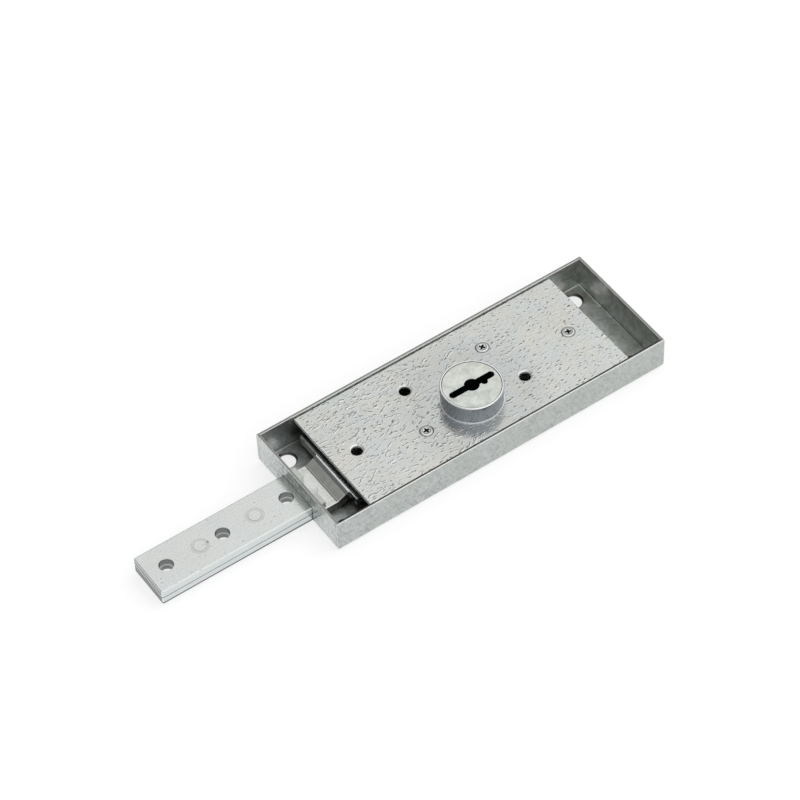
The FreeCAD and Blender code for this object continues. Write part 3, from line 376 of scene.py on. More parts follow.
def galvanised_case():
    """Folded galvanised sheet with painted shade in places, its rim sheared dark between two
    painted highlights.
    """
    finish = Finish("galvanised_case")
    tree = finish.tree
    along, across, height = finish.axes()
    length, width = absolute(tree, along), absolute(tree, across)
    slanted = add(tree, "Mapping", None, Vector=finish.place, Rotation=(0.0, 0.5, 0.4)).outputs[0]
    spangle = finish.group(SPANGLE, Patch_Scale=420.0)
    drawn = finish.group(ROLLING, Vector=slanted, Line_Scale=900.0, Stretch=(1.0, 0.8, 0.24))
    mottle = noise(tree, slanted, 620.0, Detail=2.0, Distortion=0.8)[0]
    blots = finish.group(STAIN, Blot_Scale=210.0)["Blots"]

    # Painted shade: the outer faces of the long walls are made darker.
    long_side_shade = remap(tree, width, CASE_SIDE - 0.30 * MM, CASE_SIDE - 0.05 * MM, 0.0, 0.26)
    inside = times(tree, remap(tree, length, CASE_END - 0.7 * MM, CASE_END - 1.0 * MM),
                   remap(tree, width, CASE_SIDE - 0.7 * MM, CASE_SIDE - 1.0 * MM))
    stain = times(tree, inside, remap(tree, blots, 0.44, 0.66, 0.0, 0.60))
    # Painted shade, mottled, on the end wall's outer face round the bolt's slot.
    at_slot = times(tree, remap(tree, along, 0.25 * MM - CASE_END, 0.15 * MM - CASE_END),
                    remap(tree, width, 2 * BAR_SIDE, BAR_SIDE - 1.0 * MM))
    painted_shade = times(tree, at_slot, remap(tree, mottle, 0.58, 0.42, 0.0, 0.48))
    # Painted shade inside the case, growing towards the bolt's bay.
    bay_shade = times(tree, inside, remap(tree, along, *BAY_SHADE_SPAN, 0.0, 0.24))
    # Painted shade in the countersinks round the fixing holes.
    sink_shade = band(tree, finish.nearest(FIXING_HOLES), *FIXING_SINK, 0.12 * MM)
    # Painted highlights along both rounded edges of the rim.
    rim_highlight = remap(tree, height, RIM_TOP - 0.34 * MM, RIM_TOP - 0.20 * MM)
    sheared = remap(tree, height, RIM_TOP - 0.07 * MM, RIM_TOP - 0.02 * MM)
    cut = blend(tree, drawn["Lines"], rgb(0.25, 0.255, 0.24), rgb(0.44, 0.445, 0.425))
    # Painted shade: a black line along the inner edge of the near rim.
    near_lip_shade = times(tree, remap(tree, length, INNER_END, INNER_END - 0.2 * MM),
                     band(tree, across, 0.60 * MM - CASE_SIDE, 1.40 * MM - CASE_SIDE, 0.20 * MM))
    finish.colour(paint(tree, case_sheet(finish, drawn, spangle, mottle), [
        (long_side_shade, 1.0, rgb(0.255, 0.275, 0.27)),
        (stain, 1.0, rgb(0.27, 0.255, 0.20)),
        (painted_shade, 1.0, rgb(0.13, 0.17, 0.19)),
        (bay_shade, 1.0, rgb(0.17, 0.20, 0.215)),
        (sink_shade, 0.85, grey(0.06)),
        (rim_highlight, 1.0, grey(0.94)),
        (sheared, 1.0, cut),
        (times(tree, rim_highlight, near_lip_shade), 1.0, grey(0.05)),
    ]))

    sheen = remap(tree, spangle["Tone"], 0.0, 1.0, 0.34, 0.22)
    dull = calculate(tree, "MULTIPLY_ADD", inside, 0.10, sheen)
    finish.roughness(calculate(tree, "MULTIPLY_ADD", rim_highlight, 0.30, dull))
    finish.bumps((spangle["Height"], 0.10 * MM, 0.25), (mottle, 0.05 * MM, 0.6),
                 (drawn["Lines"], 0.03 * MM, 0.5))
    return finish.material


def ripple_strokes(tree, place, squeeze, scale, half_length, half_width, kept):
    """Short raised strokes, one in a cell: their height, their side with painted shade and their
    side with a painted highlight.
    """
    squeezed = vector_math(tree, "MULTIPLY", place, (squeeze, 1.0, 0.0))
    cells = add(tree, "TexVoronoi", None, Vector=squeezed, Scale=scale)
    chance = add(tree, "SeparateColor", None, i0=cells.outputs["Color"]).outputs
    offset = vector_math(tree, "SUBTRACT", squeezed, cells.outputs["Position"])
    whole = vector_math(tree, "MULTIPLY", offset, (1.0 / squeeze, 1.0, 0.0))
    local = add(tree, "VectorRotate", {"rotation_type": "Z_AXIS"}, Vector=whole,
                Angle=remap(tree, chance[2], 0.0, 1.0, -0.45, 0.45)).outputs[0]
    reach = (1.0 / half_length, 1.0 / half_width, 0.0)
    size = remap(tree, chance[1], 0.0, 1.0, 0.45, 1.0)
    present = calculate(tree, "GREATER_THAN", chance[0], 1.0 - kept)
    masks = []
    # The stroke, its side with painted shade and its side with a painted highlight.
    for shift in (0.0, 0.35 * half_width, -0.8 * half_width):
        moved = vector_math(tree, "SUBTRACT", local, (0.0, shift, 0.0))
        spread = vector_value(tree, "LENGTH", vector_math(tree, "MULTIPLY", moved, reach))
        inside = remap(tree, calculate(tree, "DIVIDE", spread, size), 1.0, 0.45, kind="SMOOTHSTEP")
        masks.append(times(tree, inside, present))
    return masks


def cover_strokes(finish, along):
    """Long and short ripples together: their height, their painted shade and their painted
    highlight.
    """
    tree = finish.tree
    warp = vector_math(tree, "SUBTRACT", noise(tree, finish.place, 330.0, Detail=2.0)["Color"],
                       (0.5, 0.5, 0.5))
    bent = vector_math(tree, "ADD", finish.place, scaled(tree, warp, 2.2 * MM))
    turned = add(tree, "Mapping", None, Vector=bent, Rotation=(0.0, 0.0, -0.10)).outputs[0]
    long_masks = ripple_strokes(tree, turned, squeeze=0.5, scale=480.0, half_length=2.6 * MM,
                                half_width=0.36 * MM, kept=0.65)
    short_masks = ripple_strokes(tree, turned, squeeze=0.8, scale=500.0, half_length=0.95 * MM,
                                 half_width=0.40 * MM, kept=0.60)
    worn = noise(tree, finish.place, 75.0, Detail=2.0)[0]
    patchy = remap(tree, worn, 0.32, 0.54, 0.35, 1.0)
    near_bolt = remap(tree, along, -35.0 * MM, 35.0 * MM, 1.0, 0.15)
    long_share = times(tree, near_bolt, patchy)
    shares = ((long_share, patchy, False),
              (times(tree, long_share, 0.7), patchy, True),
              (long_share, times(tree, patchy, 0.4), True))
    return [calculate(tree, "MULTIPLY_ADD", long_mask, long_part,
                      times(tree, short_mask, short_part), clamp=clamp)
            for long_mask, short_mask, (long_part, short_part, clamp)
            in zip(long_masks, short_masks, shares)]


def galvanised_cover():
    """Bright galvanised plate with short raised ripples along it, longest at the bolt's end: the
    ripples' shade and highlights and the sleeve's dark reflection are painted.
    """
    finish = Finish("galvanised_cover")
    tree = finish.tree
    along, _, height = finish.axes()
    # Painted shade on one side of each ripple and a painted highlight on the other.
    ripple, painted_shade, painted_highlight = cover_strokes(finish, along)
    smudges = finish.group(HANDLING)
    spangle = finish.group(SPANGLE, Patch_Scale=260.0)
    grain = finish.group(GRAIN, Grain_Scale=1300.0)
    patches = noise(tree, finish.place, 95.0, Detail=4.0, Roughness=0.6)[0]
    # Painted dark reflection of the barrel sleeve, in a ring on the cover round the barrel.
    sleeve_reflection = band(tree, finish.nearest((BARREL,)), *SLEEVE_REFLECTION_RADII, 12.0 * MM)
    punched = remap(tree, height, COVER_TOP - 0.10 * MM, COVER_TOP - 0.20 * MM)
    zinc = blend(tree, spangle["Tone"], rgb(0.63, 0.66, 0.645), rgb(0.70, 0.73, 0.715))
    finish.colour(paint(tree, zinc, [
        (remap(tree, patches, 0.38, 0.66), 1.0, rgb(0.705, 0.70, 0.65)),
        (sleeve_reflection, 0.30, rgb(0.42, 0.45, 0.45)),
        (grain["Pits"], 0.24, grey(0.42)),
        (painted_highlight, 0.55, grey(0.93)),
        (painted_shade, 0.66, grey(0.20)),
        (smudges["Specks"], 0.30, grey(0.40)),
        (punched, 1.0, grey(0.92)),
    ]))
    satin = remap(tree, smudges["Smudge"], 0.0, 1.0, 0.17, 0.26)
    finish.roughness(calculate(tree, "MULTIPLY_ADD", punched, 0.35, satin))
    finish.bumps((ripple, 0.14 * MM, 1.0), (grain["Height"], 0.08 * MM, 0.5))
    return finish.material


def bar_coats(finish, drawn):
    """Colour of the bar outside the case: sheared sides, a dirty joint, and painted shade on the
    torn tip, along the foot, in the holes and in the dishes.
    """
    tree = finish.tree
    along, across, height = finish.axes()
    width = absolute(tree, across)
    on_bar = remap(tree, along, BAR_ROOT + 0.5 * MM, BAR_ROOT - 0.1 * MM)
    side = times(tree, remap(tree, width, BAR_SIDE - 0.07 * MM, BAR_SIDE - 0.01 * MM), on_bar)
    streak = remap(tree, drawn["Lines"], 0.40, 0.62, 0.35, 0.85)
    # Painted shade over the bar's end face, darkest in the torn bands of its sheared end.
    tip = remap(tree, along, BAR_TIP + 0.07 * MM, BAR_TIP + 0.01 * MM)
    torn = either(tree, band(tree, height, *UPPER_TEAR, 0.30 * MM),
                  band(tree, height, *LOWER_TEAR, 0.20 * MM))
    edge = either(tree, remap(tree, width, BAR_SIDE - 0.40 * MM, BAR_SIDE - 0.25 * MM),
                  remap(tree, along, BAR_TIP + 0.40 * MM, BAR_TIP + 0.25 * MM))
    joint = band(tree, height, BAR_JOINT - 0.11 * MM, BAR_JOINT + 0.11 * MM, 0.10 * MM)
    # Painted shade along the bar's foot; with the dirty joint it makes the dark lines at the edges.
    foot = remap(tree, height, *BAR_FOOT)
    seam = times(tree, times(tree, either(tree, joint, foot), edge), on_bar)
    # Painted shade in bands down the sides of the bar's holes.
    bore_shade = either(tree, band(tree, height, *UPPER_BORE, 0.15 * MM),
                   band(tree, height, *LOWER_BORE, 0.15 * MM))
    in_hole = remap(tree, finish.nearest(BAR_HOLES), BAR_BORE - 0.01 * MM, BAR_BORE - 0.04 * MM)
    # Painted shade: a soft darker ring round each rivet.
    dish_shade = band(tree, finish.nearest(BAR_RIVETS), *RIVET_DISH, 0.30 * MM)
    return [
        (times(tree, side, streak), 1.0, rgb(0.60, 0.64, 0.66)),
        (times(tree, tip, remap(tree, torn, 0.0, 1.0, 0.30, 0.95)), 1.0, rgb(0.12, 0.135, 0.13)),
        (seam, 0.9, rgb(0.05, 0.055, 0.06)),
        (times(tree, in_hole, bore_shade), 0.85, rgb(0.12, 0.13, 0.13)),
        (dish_shade, 0.35, grey(0.48)),
    ]


def bay_coats(finish):
    """Painted shade and highlights on what the open bay shows: the stained ramp, the strip's edge
    and side, the head and its lip.
    """
    tree = finish.tree
    along, across, height = finish.axes()
    bay = band(tree, along, *BAY, 0.3 * MM)
    blots = finish.group(STAIN, Blot_Scale=240.0)["Blots"]
    # Painted shade over the parts in the bay, heaviest on the raised ramp and head, mixed with
    # stain blots.
    ramp = times(tree, remap(tree, height, BAR_JOINT + 0.03 * MM, BAR_JOINT + 0.15 * MM),
                 remap(tree, blots, 0.34, 0.64, 0.36, 0.60))
    stain_and_shade = either(tree, ramp, remap(tree, blots, 0.42, 0.64, 0.0, 0.34))
    # Painted shade along the bend at the ramp's foot.
    crease_shade = band(tree, along, *RAMP_CREASE, 0.12 * MM)
    # Painted highlight along the strip's near top edge.
    strip_highlight = band(tree, across, STRIP_SIDE + 0.03 * MM, STRIP_SIDE + 0.34 * MM, 0.02 * MM)
    # Painted shade: the strip's near side face is made nearly black.
    strip_side_shade = remap(tree, across, STRIP_SIDE + 0.02 * MM, STRIP_SIDE + 0.005 * MM)
    # Painted shade over the head, under the cover's edge.
    head = band(tree, along, HEAD_START - 0.05 * MM, HEAD_END, 0.10 * MM)
    # Painted highlight along the head's top lip.
    top = band(tree, height, HEAD_TOP - 0.28 * MM, HEAD_TOP - 0.03 * MM, 0.02 * MM)
    return [
        (times(tree, bay, stain_and_shade), 1.0, rgb(0.33, 0.345, 0.305)),
        (crease_shade, 0.85, grey(0.05)),
        (times(tree, bay, strip_highlight), 1.0, grey(0.93)),
        (times(tree, bay, strip_side_shade), 0.85, grey(0.07)),
        (head, 0.8, rgb(0.14, 0.155, 0.16)),
        (times(tree, head, top), 1.0, grey(0.96)),
    ]


def zinc_bolt():
    """Zinc-plated flat steel, satin, with shade and highlights painted at its edges, holes and bay.
    """
    finish = Finish("zinc_bolt")
    tree = finish.tree
    drawn = finish.group(ROLLING, Line_Scale=1300.0, Stretch=(0.05, 1.0, 1.0))
    smudges = finish.group(HANDLING)
    grain = finish.group(GRAIN, Grain_Scale=1400.0)
    zinc = blend(tree, drawn["Lines"], rgb(0.68, 0.71, 0.705), rgb(0.79, 0.82, 0.815))
    plating = [
        (smudges["Tint"], 0.55, rgb(0.75, 0.77, 0.71)),
        (grain["Pits"], 0.25, grey(0.52)),
        (smudges["Specks"], 0.55, grey(0.30)),
    ]
    finish.colour(paint(tree, zinc, plating + bar_coats(finish, drawn) + bay_coats(finish)))
    finish.roughness(remap(tree, smudges["Smudge"], 0.0, 1.0, 0.18, 0.27))
    finish.bumps((drawn["Lines"], 0.03 * MM, 0.5), (grain["Height"], 0.06 * MM, 0.6))
    return finish.material


def turned_metal(name, light, dark, rough, keyway=False):
    """Lathe-turned metal: rings about the barrel's axis, clouded, with painted shade inside the
    keyway.
    """
    finish = Finish(name)
    tree = finish.tree
    rings = finish.group(TURNED, Vector=finish.centred(*BARREL), Pitch=0.16 * MM)["Rings"]
    smudges = finish.group(HANDLING)
    clouds = finish.group(STAIN, Blot_Scale=260.0)["Blots"]
    metal = blend(tree, remap(tree, clouds, 0.34, 0.66), dark, light)
    coats = [
        (smudges["Tint"], 0.5, rgb(light[0] * 1.02, light[1] * 0.98, light[2] * 0.90)),
        (smudges["Specks"], 0.4, grey(0.36)),
    ]
    if keyway:
        # Painted shade inside the keyway.
        keyway_shade = remap(tree, finish.axes()[2], DRUM_TOP - 0.25 * MM, DRUM_TOP - 1.2 * MM)
        coats.append((keyway_shade, 1.0, rgb(0.035, 0.045, 0.055)))
    finish.colour(paint(tree, metal, coats))
    finish.roughness(remap(tree, smudges["Smudge"], 0.0, 1.0, rough, rough + 0.10))
    finish.bumps((rings, 0.01 * MM, 0.4), (clouds, 0.04 * MM, 0.4))
    return finish.material


def sleeve_zinc():
    """Turned and plated tube, satin, with a cool blue passivation and painted highlights at its top
    edge and its foot.
    """
    finish = Finish("zinc_barrel")
    tree = finish.tree
    drawn = finish.group(ROLLING, Vector=finish.centred(*BARREL), Line_Scale=900.0,
                         Stretch=(1.0, 1.0, 0.30))
    smudges = finish.group(HANDLING)
    height = finish.axes()[2]
    # Painted highlights: a bright band at the sleeve's top edge and one at its foot on the cover.
    bright = either(tree, remap(tree, height, SLEEVE_TOP - 0.42 * MM, SLEEVE_TOP - 0.30 * MM),
                    remap(tree, height, COVER_TOP + 0.50 * MM, COVER_TOP + 0.36 * MM))
    zinc = blend(tree, drawn["Lines"], grey(0.29, -0.085), grey(0.40, -0.070))
    finish.colour(paint(tree, zinc, [
        (smudges["Tint"], 0.5, grey(0.34, -0.02)),
        (bright, 1.0, grey(0.88, -0.01)),
    ]))
    finish.roughness(remap(tree, smudges["Smudge"], 0.0, 1.0, 0.16, 0.24))
    finish.bumps((drawn["Lines"], 0.01 * MM, 0.35))
    return finish.material


def blanked_steel():
    """Sheet blanks of the lever pack: bare, with a coat of oil, finely scratched."""
    finish = Finish("lever_steel")
    tree = finish.tree
    drawn = finish.group(ROLLING, Line_Scale=1500.0, Stretch=(0.08, 1.0, 1.0))
    finish.colour(blend(tree, drawn["Lines"], grey(0.42, 0.01), grey(0.62, 0.015)))
    finish.roughness(remap(tree, drawn["Scratches"], 0.0, 1.0, 0.32, 0.5))
    finish.bumps((drawn["Lines"], 0.02 * MM, 0.4))
    return finish.material


def blued_spring():
    """Blued spring strip and shims: dark, with a faint straw tint in places."""
    finish = Finish("spring_steel")
    tree = finish.tree
    smudges = finish.group(HANDLING)
    finish.colour(blend(tree, smudges["Tint"], rgb(0.16, 0.19, 0.25), rgb(0.28, 0.26, 0.22)))
    finish.roughness(remap(tree, smudges["Smudge"], 0.0, 1.0, 0.25, 0.38))
    finish.bumps((smudges["Smudge"], 0.03 * MM, 0.3))
    return finish.material


def oiled_bronze():
    """Sintered bearing bronze: fine open grain, dark where oil sits."""
    finish = Finish("sintered_bush")
    tree = finish.tree
    grain = finish.group(GRAIN, Grain_Scale=2600.0)["Height"]
    finish.colour(blend(tree, grain, rgb(0.30, 0.20, 0.09), rgb(0.66, 0.50, 0.27)))
    finish.roughness(remap(tree, grain, 0.3, 0.7, 0.52, 0.36))
    finish.bumps((grain, 0.04 * MM, 0.5))
    return finish.material


def plated_screw():
    """Zinc-plated screw: bright, with painted shade in the cross of its head, in a ring round the
    cross and on the head's sloping rim.
    """
    finish = Finish("zinc_screw")
    tree = finish.tree
    smudges = finish.group(HANDLING)
    grain = finish.group(GRAIN, Grain_Scale=2200.0)["Height"]
    radius = finish.nearest(SCREW_PLACES)
    sunk = remap(tree, finish.axes()[2], COVER_TOP + 0.13 * MM, COVER_TOP - 0.05 * MM)
    # Painted shade: near black in the cross, a dark ring round it and a darker sloping rim.
    recess_shade = times(tree, remap(tree, radius, CROSS_RADIUS + 0.15 * MM, CROSS_RADIUS), sunk)
    groove_shade = band(tree, radius, *HEAD_GROOVE, 0.10 * MM)
    skirt_shade = remap(tree, radius, *HEAD_SKIRT, 0.0, 0.65)
    zinc = blend(tree, grain, rgb(0.62, 0.65, 0.64), rgb(0.80, 0.82, 0.81))
    finish.colour(paint(tree, zinc, [
        (smudges["Smudge"], 0.4, grey(0.46, 0.01)),
        (skirt_shade, 1.0, grey(0.22)),
        (groove_shade, 0.75, grey(0.12)),
        (recess_shade, 1.0, rgb(0.05, 0.055, 0.06)),
    ]))
    finish.roughness(remap(tree, smudges["Smudge"], 0.0, 1.0, 0.22, 0.34))
    finish.bumps((grain, 0.02 * MM, 0.3))
    return finish.material


FINISHES = {
    "galvanised_case": galvanised_case(),
    "galvanised_cover": galvanised_cover(),
    "zinc_bolt": zinc_bolt(),
    "zinc_barrel": sleeve_zinc(),
    "nickel_drum": turned_metal("nickel_drum", rgb(0.78, 0.81, 0.77), rgb(0.50, 0.54, 0.51), 0.22,
                                keyway=True),
    "zinc_screw": plated_screw(),
    "turned_steel": turned_metal("turned_steel", grey(0.60), grey(0.46), 0.24),
    "sintered_bush": oiled_bronze(),
    "lever_steel": blanked_steel(),
    "spring_steel": blued_spring(),
}
NODE_SLOTS = {item["node"]: item["material_slot"] for item in frame["record"]["subparts"]}


def dress_node(name):
    """Give a CAD node its finish."""
    mesh = nodes[name].data
    mesh.materials.clear()
    mesh.materials.append(FINISHES[NODE_SLOTS[name]])


# Pieces

def body_of(name):
    """The body that a node moves with: the case, unless the record says otherwise."""
    for body, members in frame["record"]["behaviour"]["bodies"].items():
        if name in members:
            return body
    return "case"


def keep_piece(name, shape, node, smooth_angle=30.0):
    """Turn a finished bmesh into a piece that stands for a CAD node."""
    mesh = bpy.data.meshes.new(name)
    shape.to_mesh(mesh)
    shape.free()
    mesh.shade_smooth()
    mesh.set_sharp_from_angle(angle=math.radians(smooth_angle))
    mesh.materials.append(FINISHES[NODE_SLOTS[node]])
    piece = bpy.data.objects.new(name, mesh)
    scene.collection.objects.link(piece)
    even = piece.modifiers.new("flat_face_normals", "WEIGHTED_NORMAL")
    even.mode = "FACE_AREA"
    even.weight = 50
    even.keep_sharp = True
    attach(piece, body_of(node))
    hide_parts(node)


def merged_copy(node):
    """The node's mesh with its loose triangles joined and its flat faces made whole."""
    shape = bmesh.new()
    shape.from_mesh(nodes[node].data)
    bmesh.ops.remove_doubles(shape, verts=shape.verts, dist=0.002 * MM)
    bmesh.ops.dissolve_limit(shape, angle_limit=math.radians(0.4), verts=shape.verts,
                             edges=shape.edges)
    return shape


def middle(edge):
    """The point halfway along an edge."""
    return (edge.verts[0].co + edge.verts[1].co) / 2


def soften_edges(shape, width, angle, wanted=None, segments=2, clamp=False):
    """Round off the edges sharper than an angle, all or those that the test picks."""
    shape.normal_update()
    limit = math.radians(angle)
    picked = [edge for edge in shape.edges
              if edge.is_manifold and edge.calc_face_angle(0.0) > limit
              and (wanted is None or wanted(edge))]
    bmesh.ops.bevel(shape, geom=picked, offset=width, offset_type="OFFSET", segments=segments,
                    profile=0.5, affect="EDGES", clamp_overlap=clamp, material=-1)


def carve(shape, cutter):
    """Take one closed shape out of another."""
    holders = []
    for part in (shape, cutter):
        mesh = bpy.data.meshes.new("carving")
        part.to_mesh(mesh)
        part.free()
        holder = bpy.data.objects.new("carving", mesh)
        scene.collection.objects.link(holder)
        holders.append(holder)
    cut = holders[0].modifiers.new("cut", "BOOLEAN")
    cut.operation = "DIFFERENCE"
    cut.solver = "EXACT"
    cut.use_self = True
    cut.object = holders[1]
    evaluated = holders[0].evaluated_get(bpy.context.evaluated_depsgraph_get())
    carved = bpy.data.meshes.new_from_object(evaluated)
    result = bmesh.new()
    result.from_mesh(carved)
    bpy.data.meshes.remove(carved)
    for holder in holders:
        mesh = holder.data
        bpy.data.objects.remove(holder)
        bpy.data.meshes.remove(mesh)
    bmesh.ops.recalc_face_normals(result, faces=result.faces)
    return result


def turn_upright(shape, verts, degrees):
    """Turn vertices about the world's upright axis."""
    bmesh.ops.rotate(shape, verts=verts, cent=(0.0, 0.0, 0.0),
                     matrix=Matrix.Rotation(math.radians(degrees), 3, "Z"))


def add_block(shape, low, high, degrees=0.0):
    """A box between two corners, turned about its own upright axis."""
    low, high = Vector(low), Vector(high)
    box = bmesh.ops.create_cube(shape, size=1.0)["verts"]
    bmesh.ops.scale(shape, verts=box, vec=high - low)
    turn_upright(shape, box, degrees)
    bmesh.ops.translate(shape, verts=box, vec=(low + high) / 2)
    return box


def folded_tray():
    """The case with a rounded rim, and a seam at each corner where end flap and long wall meet."""
    shape = merged_copy("case_tray")
    soften_edges(shape, RIM_ROUND, 50.0, lambda edge: middle(edge).z > RIM_TOP - 0.01 * MM, 3)
    seams, mouths = bmesh.new(), bmesh.new()
    past_rim = RIM_TOP + 1.0 * MM
    for end in (-1, 1):
        for side in (-1, 1):
            x, y = end * SEAM_X, side * SEAM_Y
            add_block(seams, (x - SEAM_REACH, y - SEAM_HALF, SEAM_FOOT),
                      (x + SEAM_REACH, y + SEAM_HALF, past_rim))
            x = end * CASE_END
            add_block(mouths, (x - MOUTH_HALF, y - MOUTH_HALF, MOUTH_FOOT),
                      (x + MOUTH_HALF, y + MOUTH_HALF, past_rim), 45.0)
    keep_piece("folded_tray", carve(carve(shape, seams), mouths), "case_tray")


def screw_head(shape, x, y, turn):
    """One raised countersunk head on its shank, with the cross pressed in."""
    blank = bmesh.new()
    points = [blank.verts.new((radius * MM, 0.0, COVER_TOP + rise * MM))
              for radius, rise in SCREW_PROFILE]
    edges = [blank.edges.new(pair) for pair in zip(points, points[1:])]
    bmesh.ops.spin(blank, geom=points + edges, cent=(0.0, 0.0, 0.0), axis=(0.0, 0.0, 1.0),
                   angle=math.tau, steps=64, use_merge=True)
    bmesh.ops.remove_doubles(blank, verts=blank.verts, dist=0.005 * MM)
    bmesh.ops.recalc_face_normals(blank, faces=blank.faces)
    cross = bmesh.new()
    for quarter in (0.0, 90.0):
        arm = add_block(cross, (-1.50 * MM, -0.48 * MM, COVER_TOP - 0.75 * MM),
                        (1.50 * MM, 0.48 * MM, COVER_TOP + 0.60 * MM))
        for corner in arm:
            if corner.co.z < COVER_TOP:
                corner.co.x *= 0.55
                corner.co.y *= 0.62
        turn_upright(cross, arm, quarter)
    head = carve(blank, cross)
    turn_upright(head, head.verts, turn)
    bmesh.ops.translate(head, verts=head.verts, vec=(x, y, 0.0))
    placed = bpy.data.meshes.new("screw")
    head.to_mesh(placed)
    head.free()
    shape.from_mesh(placed)
    bpy.data.meshes.remove(placed)


def cross_screws():
    """The three cover screws, each with its cross turned its own way."""
    shape = bmesh.new()
    for (x, y), turn in zip(SCREW_PLACES, SCREW_TURNS):
        screw_head(shape, x, y, turn)
    keep_piece("cross_screws", shape, "cover_screws", 32.0)


def rippled_cover():
    """The cover with a rounded outline and slightly rounded hole lips."""
    def on_outline(edge):
        return (abs(middle(edge).x) > COVER_HOLES_X
                or abs(middle(edge).y) > COVER_HOLES_Y + 0.5 * MM)

    def at_holes(edge):
        return abs(middle(edge).x) < COVER_HOLES_X and abs(middle(edge).y) < COVER_HOLES_Y

    shape = merged_copy("cover_plate")
    soften_edges(shape, 0.22 * MM, 50.0, on_outline, 3)
    soften_edges(shape, 0.07 * MM, 40.0, at_holes)
    keep_piece("rippled_cover", shape, "cover_plate")


def on_bar_outline(edge):
    """Whether an edge runs along the bar's long sides or its tip."""
    spot = middle(edge)
    return spot.x < BAR_ROOT and (abs(spot.y) > BAR_SIDE - BAR_MARGIN
                                  or spot.x < BAR_TIP + BAR_MARGIN)


def on_bar_face(edge):
    """Whether an edge lies within the bar's faces, as the hole lips and dishes do."""
    return middle(edge).x < BAR_ROOT and not on_bar_outline(edge)


def joggled_carrier():
    """The lower layer and its ramped strip, with the sheared edges of the blank rounded off."""
    def on_layer_face(edge):
        return on_bar_face(edge) and middle(edge).z > BAR_JOINT - 0.95 * MM

    def in_bay(edge):
        return BAY[0] - 0.1 * MM < middle(edge).x < HEAD_START

    def on_head_lip(edge):
        spot = middle(edge)
        return spot.z > HEAD_TOP - 0.1 * MM and HEAD_START < spot.x < HEAD_START + 2.7 * MM

    shape = merged_copy("bolt_carrier")
    soften_edges(shape, 0.30 * MM, 40.0, on_bar_outline, 3)
    soften_edges(shape, 0.18 * MM, 60.0, on_layer_face)
    soften_edges(shape, 0.12 * MM, 60.0, in_bay)
    soften_edges(shape, 0.26 * MM, 60.0, on_head_lip)
    keep_piece("joggled_carrier", shape, "bolt_carrier")


def drilled_bar():
    """The upper layer, with rounded layer edges, hole lips and soft rivet dishes."""
    def at_joint(edge):
        return on_bar_outline(edge) and middle(edge).z < BAR_JOINT + 0.05 * MM

    def on_top_lip(edge):
        return on_bar_face(edge) and middle(edge).z > BAR_TOP - 0.03 * MM

    shape = merged_copy("upper_bar")
    dish_floor = BAR_TOP - 0.15 * MM
    for corner in shape.verts:
        if abs(corner.co.z - dish_floor) < 0.01 * MM and abs(corner.co.y) < 3.8 * MM:
            corner.co.z += 0.08 * MM
    soften_edges(shape, 0.30 * MM, 60.0, at_joint, 3)
    soften_edges(shape, 0.06 * MM, 60.0, on_top_lip, 3)
    keep_piece("drilled_bar", shape, "upper_bar")


def rounded_copy(name, node, width, segments=2):
    """A CAD node with all its sharp edges rounded alike."""
    shape = merged_copy(node)
    soften_edges(shape, width, 50.0, segments=segments, clamp=True)
    keep_piece(name, shape, node)


folded_tray()
cross_screws()
rippled_cover()
joggled_carrier()
drilled_bar()
rounded_copy("turned_sleeve", "barrel_sleeve", 0.06 * MM, 3)
rounded_copy("faced_drum", "rotor_drum", 0.08 * MM)
rounded_copy("set_rivets", "bar_rivets", 0.04 * MM)
for node_name in nodes:
    dress_node(node_name)


# Floor, light and camera

def light_world():
    """Soft studio room: bright above the near right side, and dim low down at the far left."""
    world = bpy.data.worlds.new("studio_room")
    world.use_nodes = True
    tree = world.node_tree
    tree.nodes.clear()
    direction = add(tree, "TexCoord").outputs["Generated"]
    facing = vector_value(tree, "DOT_PRODUCT", direction, ROOM_BRIGHT)
    strength = remap(tree, facing, 0.10, 0.66, 0.35, 1.08, kind="SMOOTHSTEP")
    room = add(tree, "Background", None, Color=grey(1.0), Strength=strength)
    add(tree, "OutputWorld", None, i0=room.outputs[0])
    scene.world = world


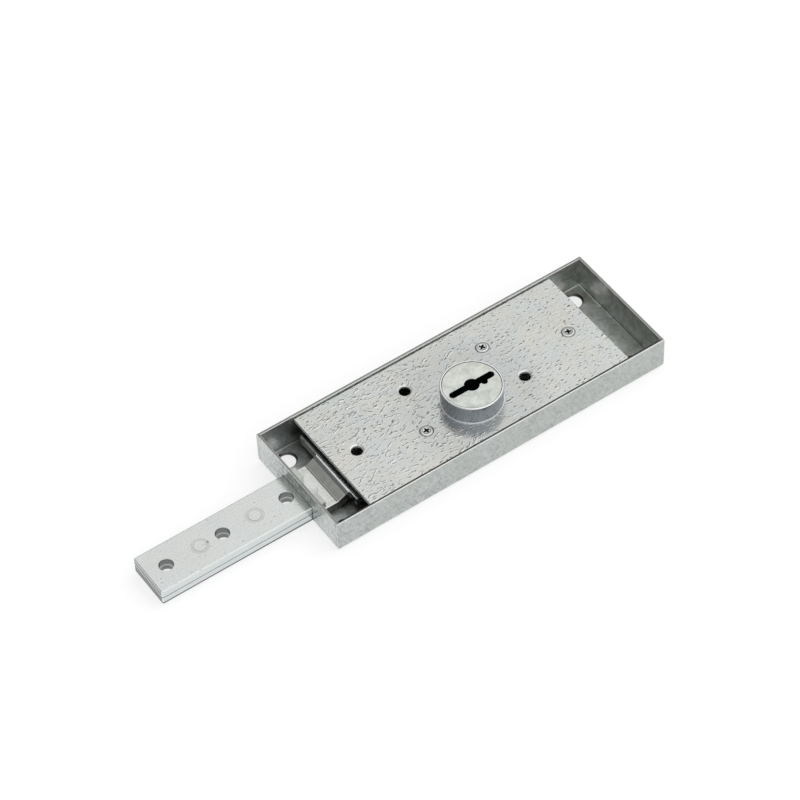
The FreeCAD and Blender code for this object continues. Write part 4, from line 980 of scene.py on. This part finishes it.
def lay_floor():
    """White table top that keeps the lock's shadow."""
    shape = bmesh.new()
    bmesh.ops.create_grid(shape, x_segments=1, y_segments=1, size=3.0)
    bmesh.ops.translate(shape, verts=shape.verts, vec=(0.0, 0.0, -0.2 * MM))
    mesh = bpy.data.meshes.new("studio_floor")
    shape.to_mesh(mesh)
    shape.free()
    material = bpy.data.materials.new("white_floor")
    material.use_nodes = True
    tree = material.node_tree
    tree.nodes.clear()
    path = add(tree, "LightPath").outputs
    seen = either(tree, path["Is Camera Ray"], path["Is Glossy Ray"])
    seen = either(tree, seen, path["Is Transmission Ray"])
    matt = add(tree, "BsdfDiffuse", None, Color=grey(0.45))
    glow = add(tree, "Emission", None, Color=grey(1.0), Strength=times(tree, seen, FLOOR_GLOW))
    both = add(tree, "AddShader", None, i0=matt.outputs[0], i1=glow.outputs[0])
    add(tree, "OutputMaterial", None, i0=both.outputs[0])
    mesh.materials.append(material)
    floor = bpy.data.objects.new("studio_floor", mesh)
    scene.collection.objects.link(floor)


def hang_softbox(name, place, size, power):
    """A rectangular area light that faces the lock."""
    data = bpy.data.lights.new(name, "AREA")
    data.shape = "RECTANGLE"
    data.size, data.size_y = size
    data.energy = power
    lamp = bpy.data.objects.new(name, data)
    aim = Vector((0.0, 0.0, 0.0)) - Vector(place)
    facing = aim.to_track_quat("-Z", "Y").to_matrix().to_4x4()
    lamp.matrix_world = Matrix.Translation(place) @ facing
    scene.collection.objects.link(lamp)


def set_camera():
    """The photograph's view, solved from the case's corners."""
    azimuth, elevation, roll = (math.radians(angle) for angle in (-32.906, 49.946, 2.732))
    shift_right, shift_down, distance = 0.024567, 0.005032, 1.354
    look = Vector((-math.sin(azimuth) * math.cos(elevation),
                   math.cos(azimuth) * math.cos(elevation), -math.sin(elevation)))
    level = Vector((math.cos(azimuth), math.sin(azimuth), 0.0))
    steep = look.cross(level)
    right = math.cos(roll) * level + math.sin(roll) * steep
    down = math.cos(roll) * steep - math.sin(roll) * level
    place = -(shift_right * right + shift_down * down + distance * look)
    data = bpy.data.cameras.new("photo_camera")
    data.lens = 156.09
    data.sensor_width = 36.0
    data.clip_start = 0.05
    camera = bpy.data.objects.new("photo_camera", data)
    turn = Matrix((right, -down, -look)).transposed().to_4x4()
    camera.matrix_world = Matrix.Translation(place) @ turn
    scene.collection.objects.link(camera)
    scene.camera = camera


light_world()
lay_floor()
hang_softbox("overhead_softbox", place=(0.55, -0.60, 1.30), size=(1.80, 1.80), power=0.9)
set_camera()
scene.view_settings.view_transform = "Standard"
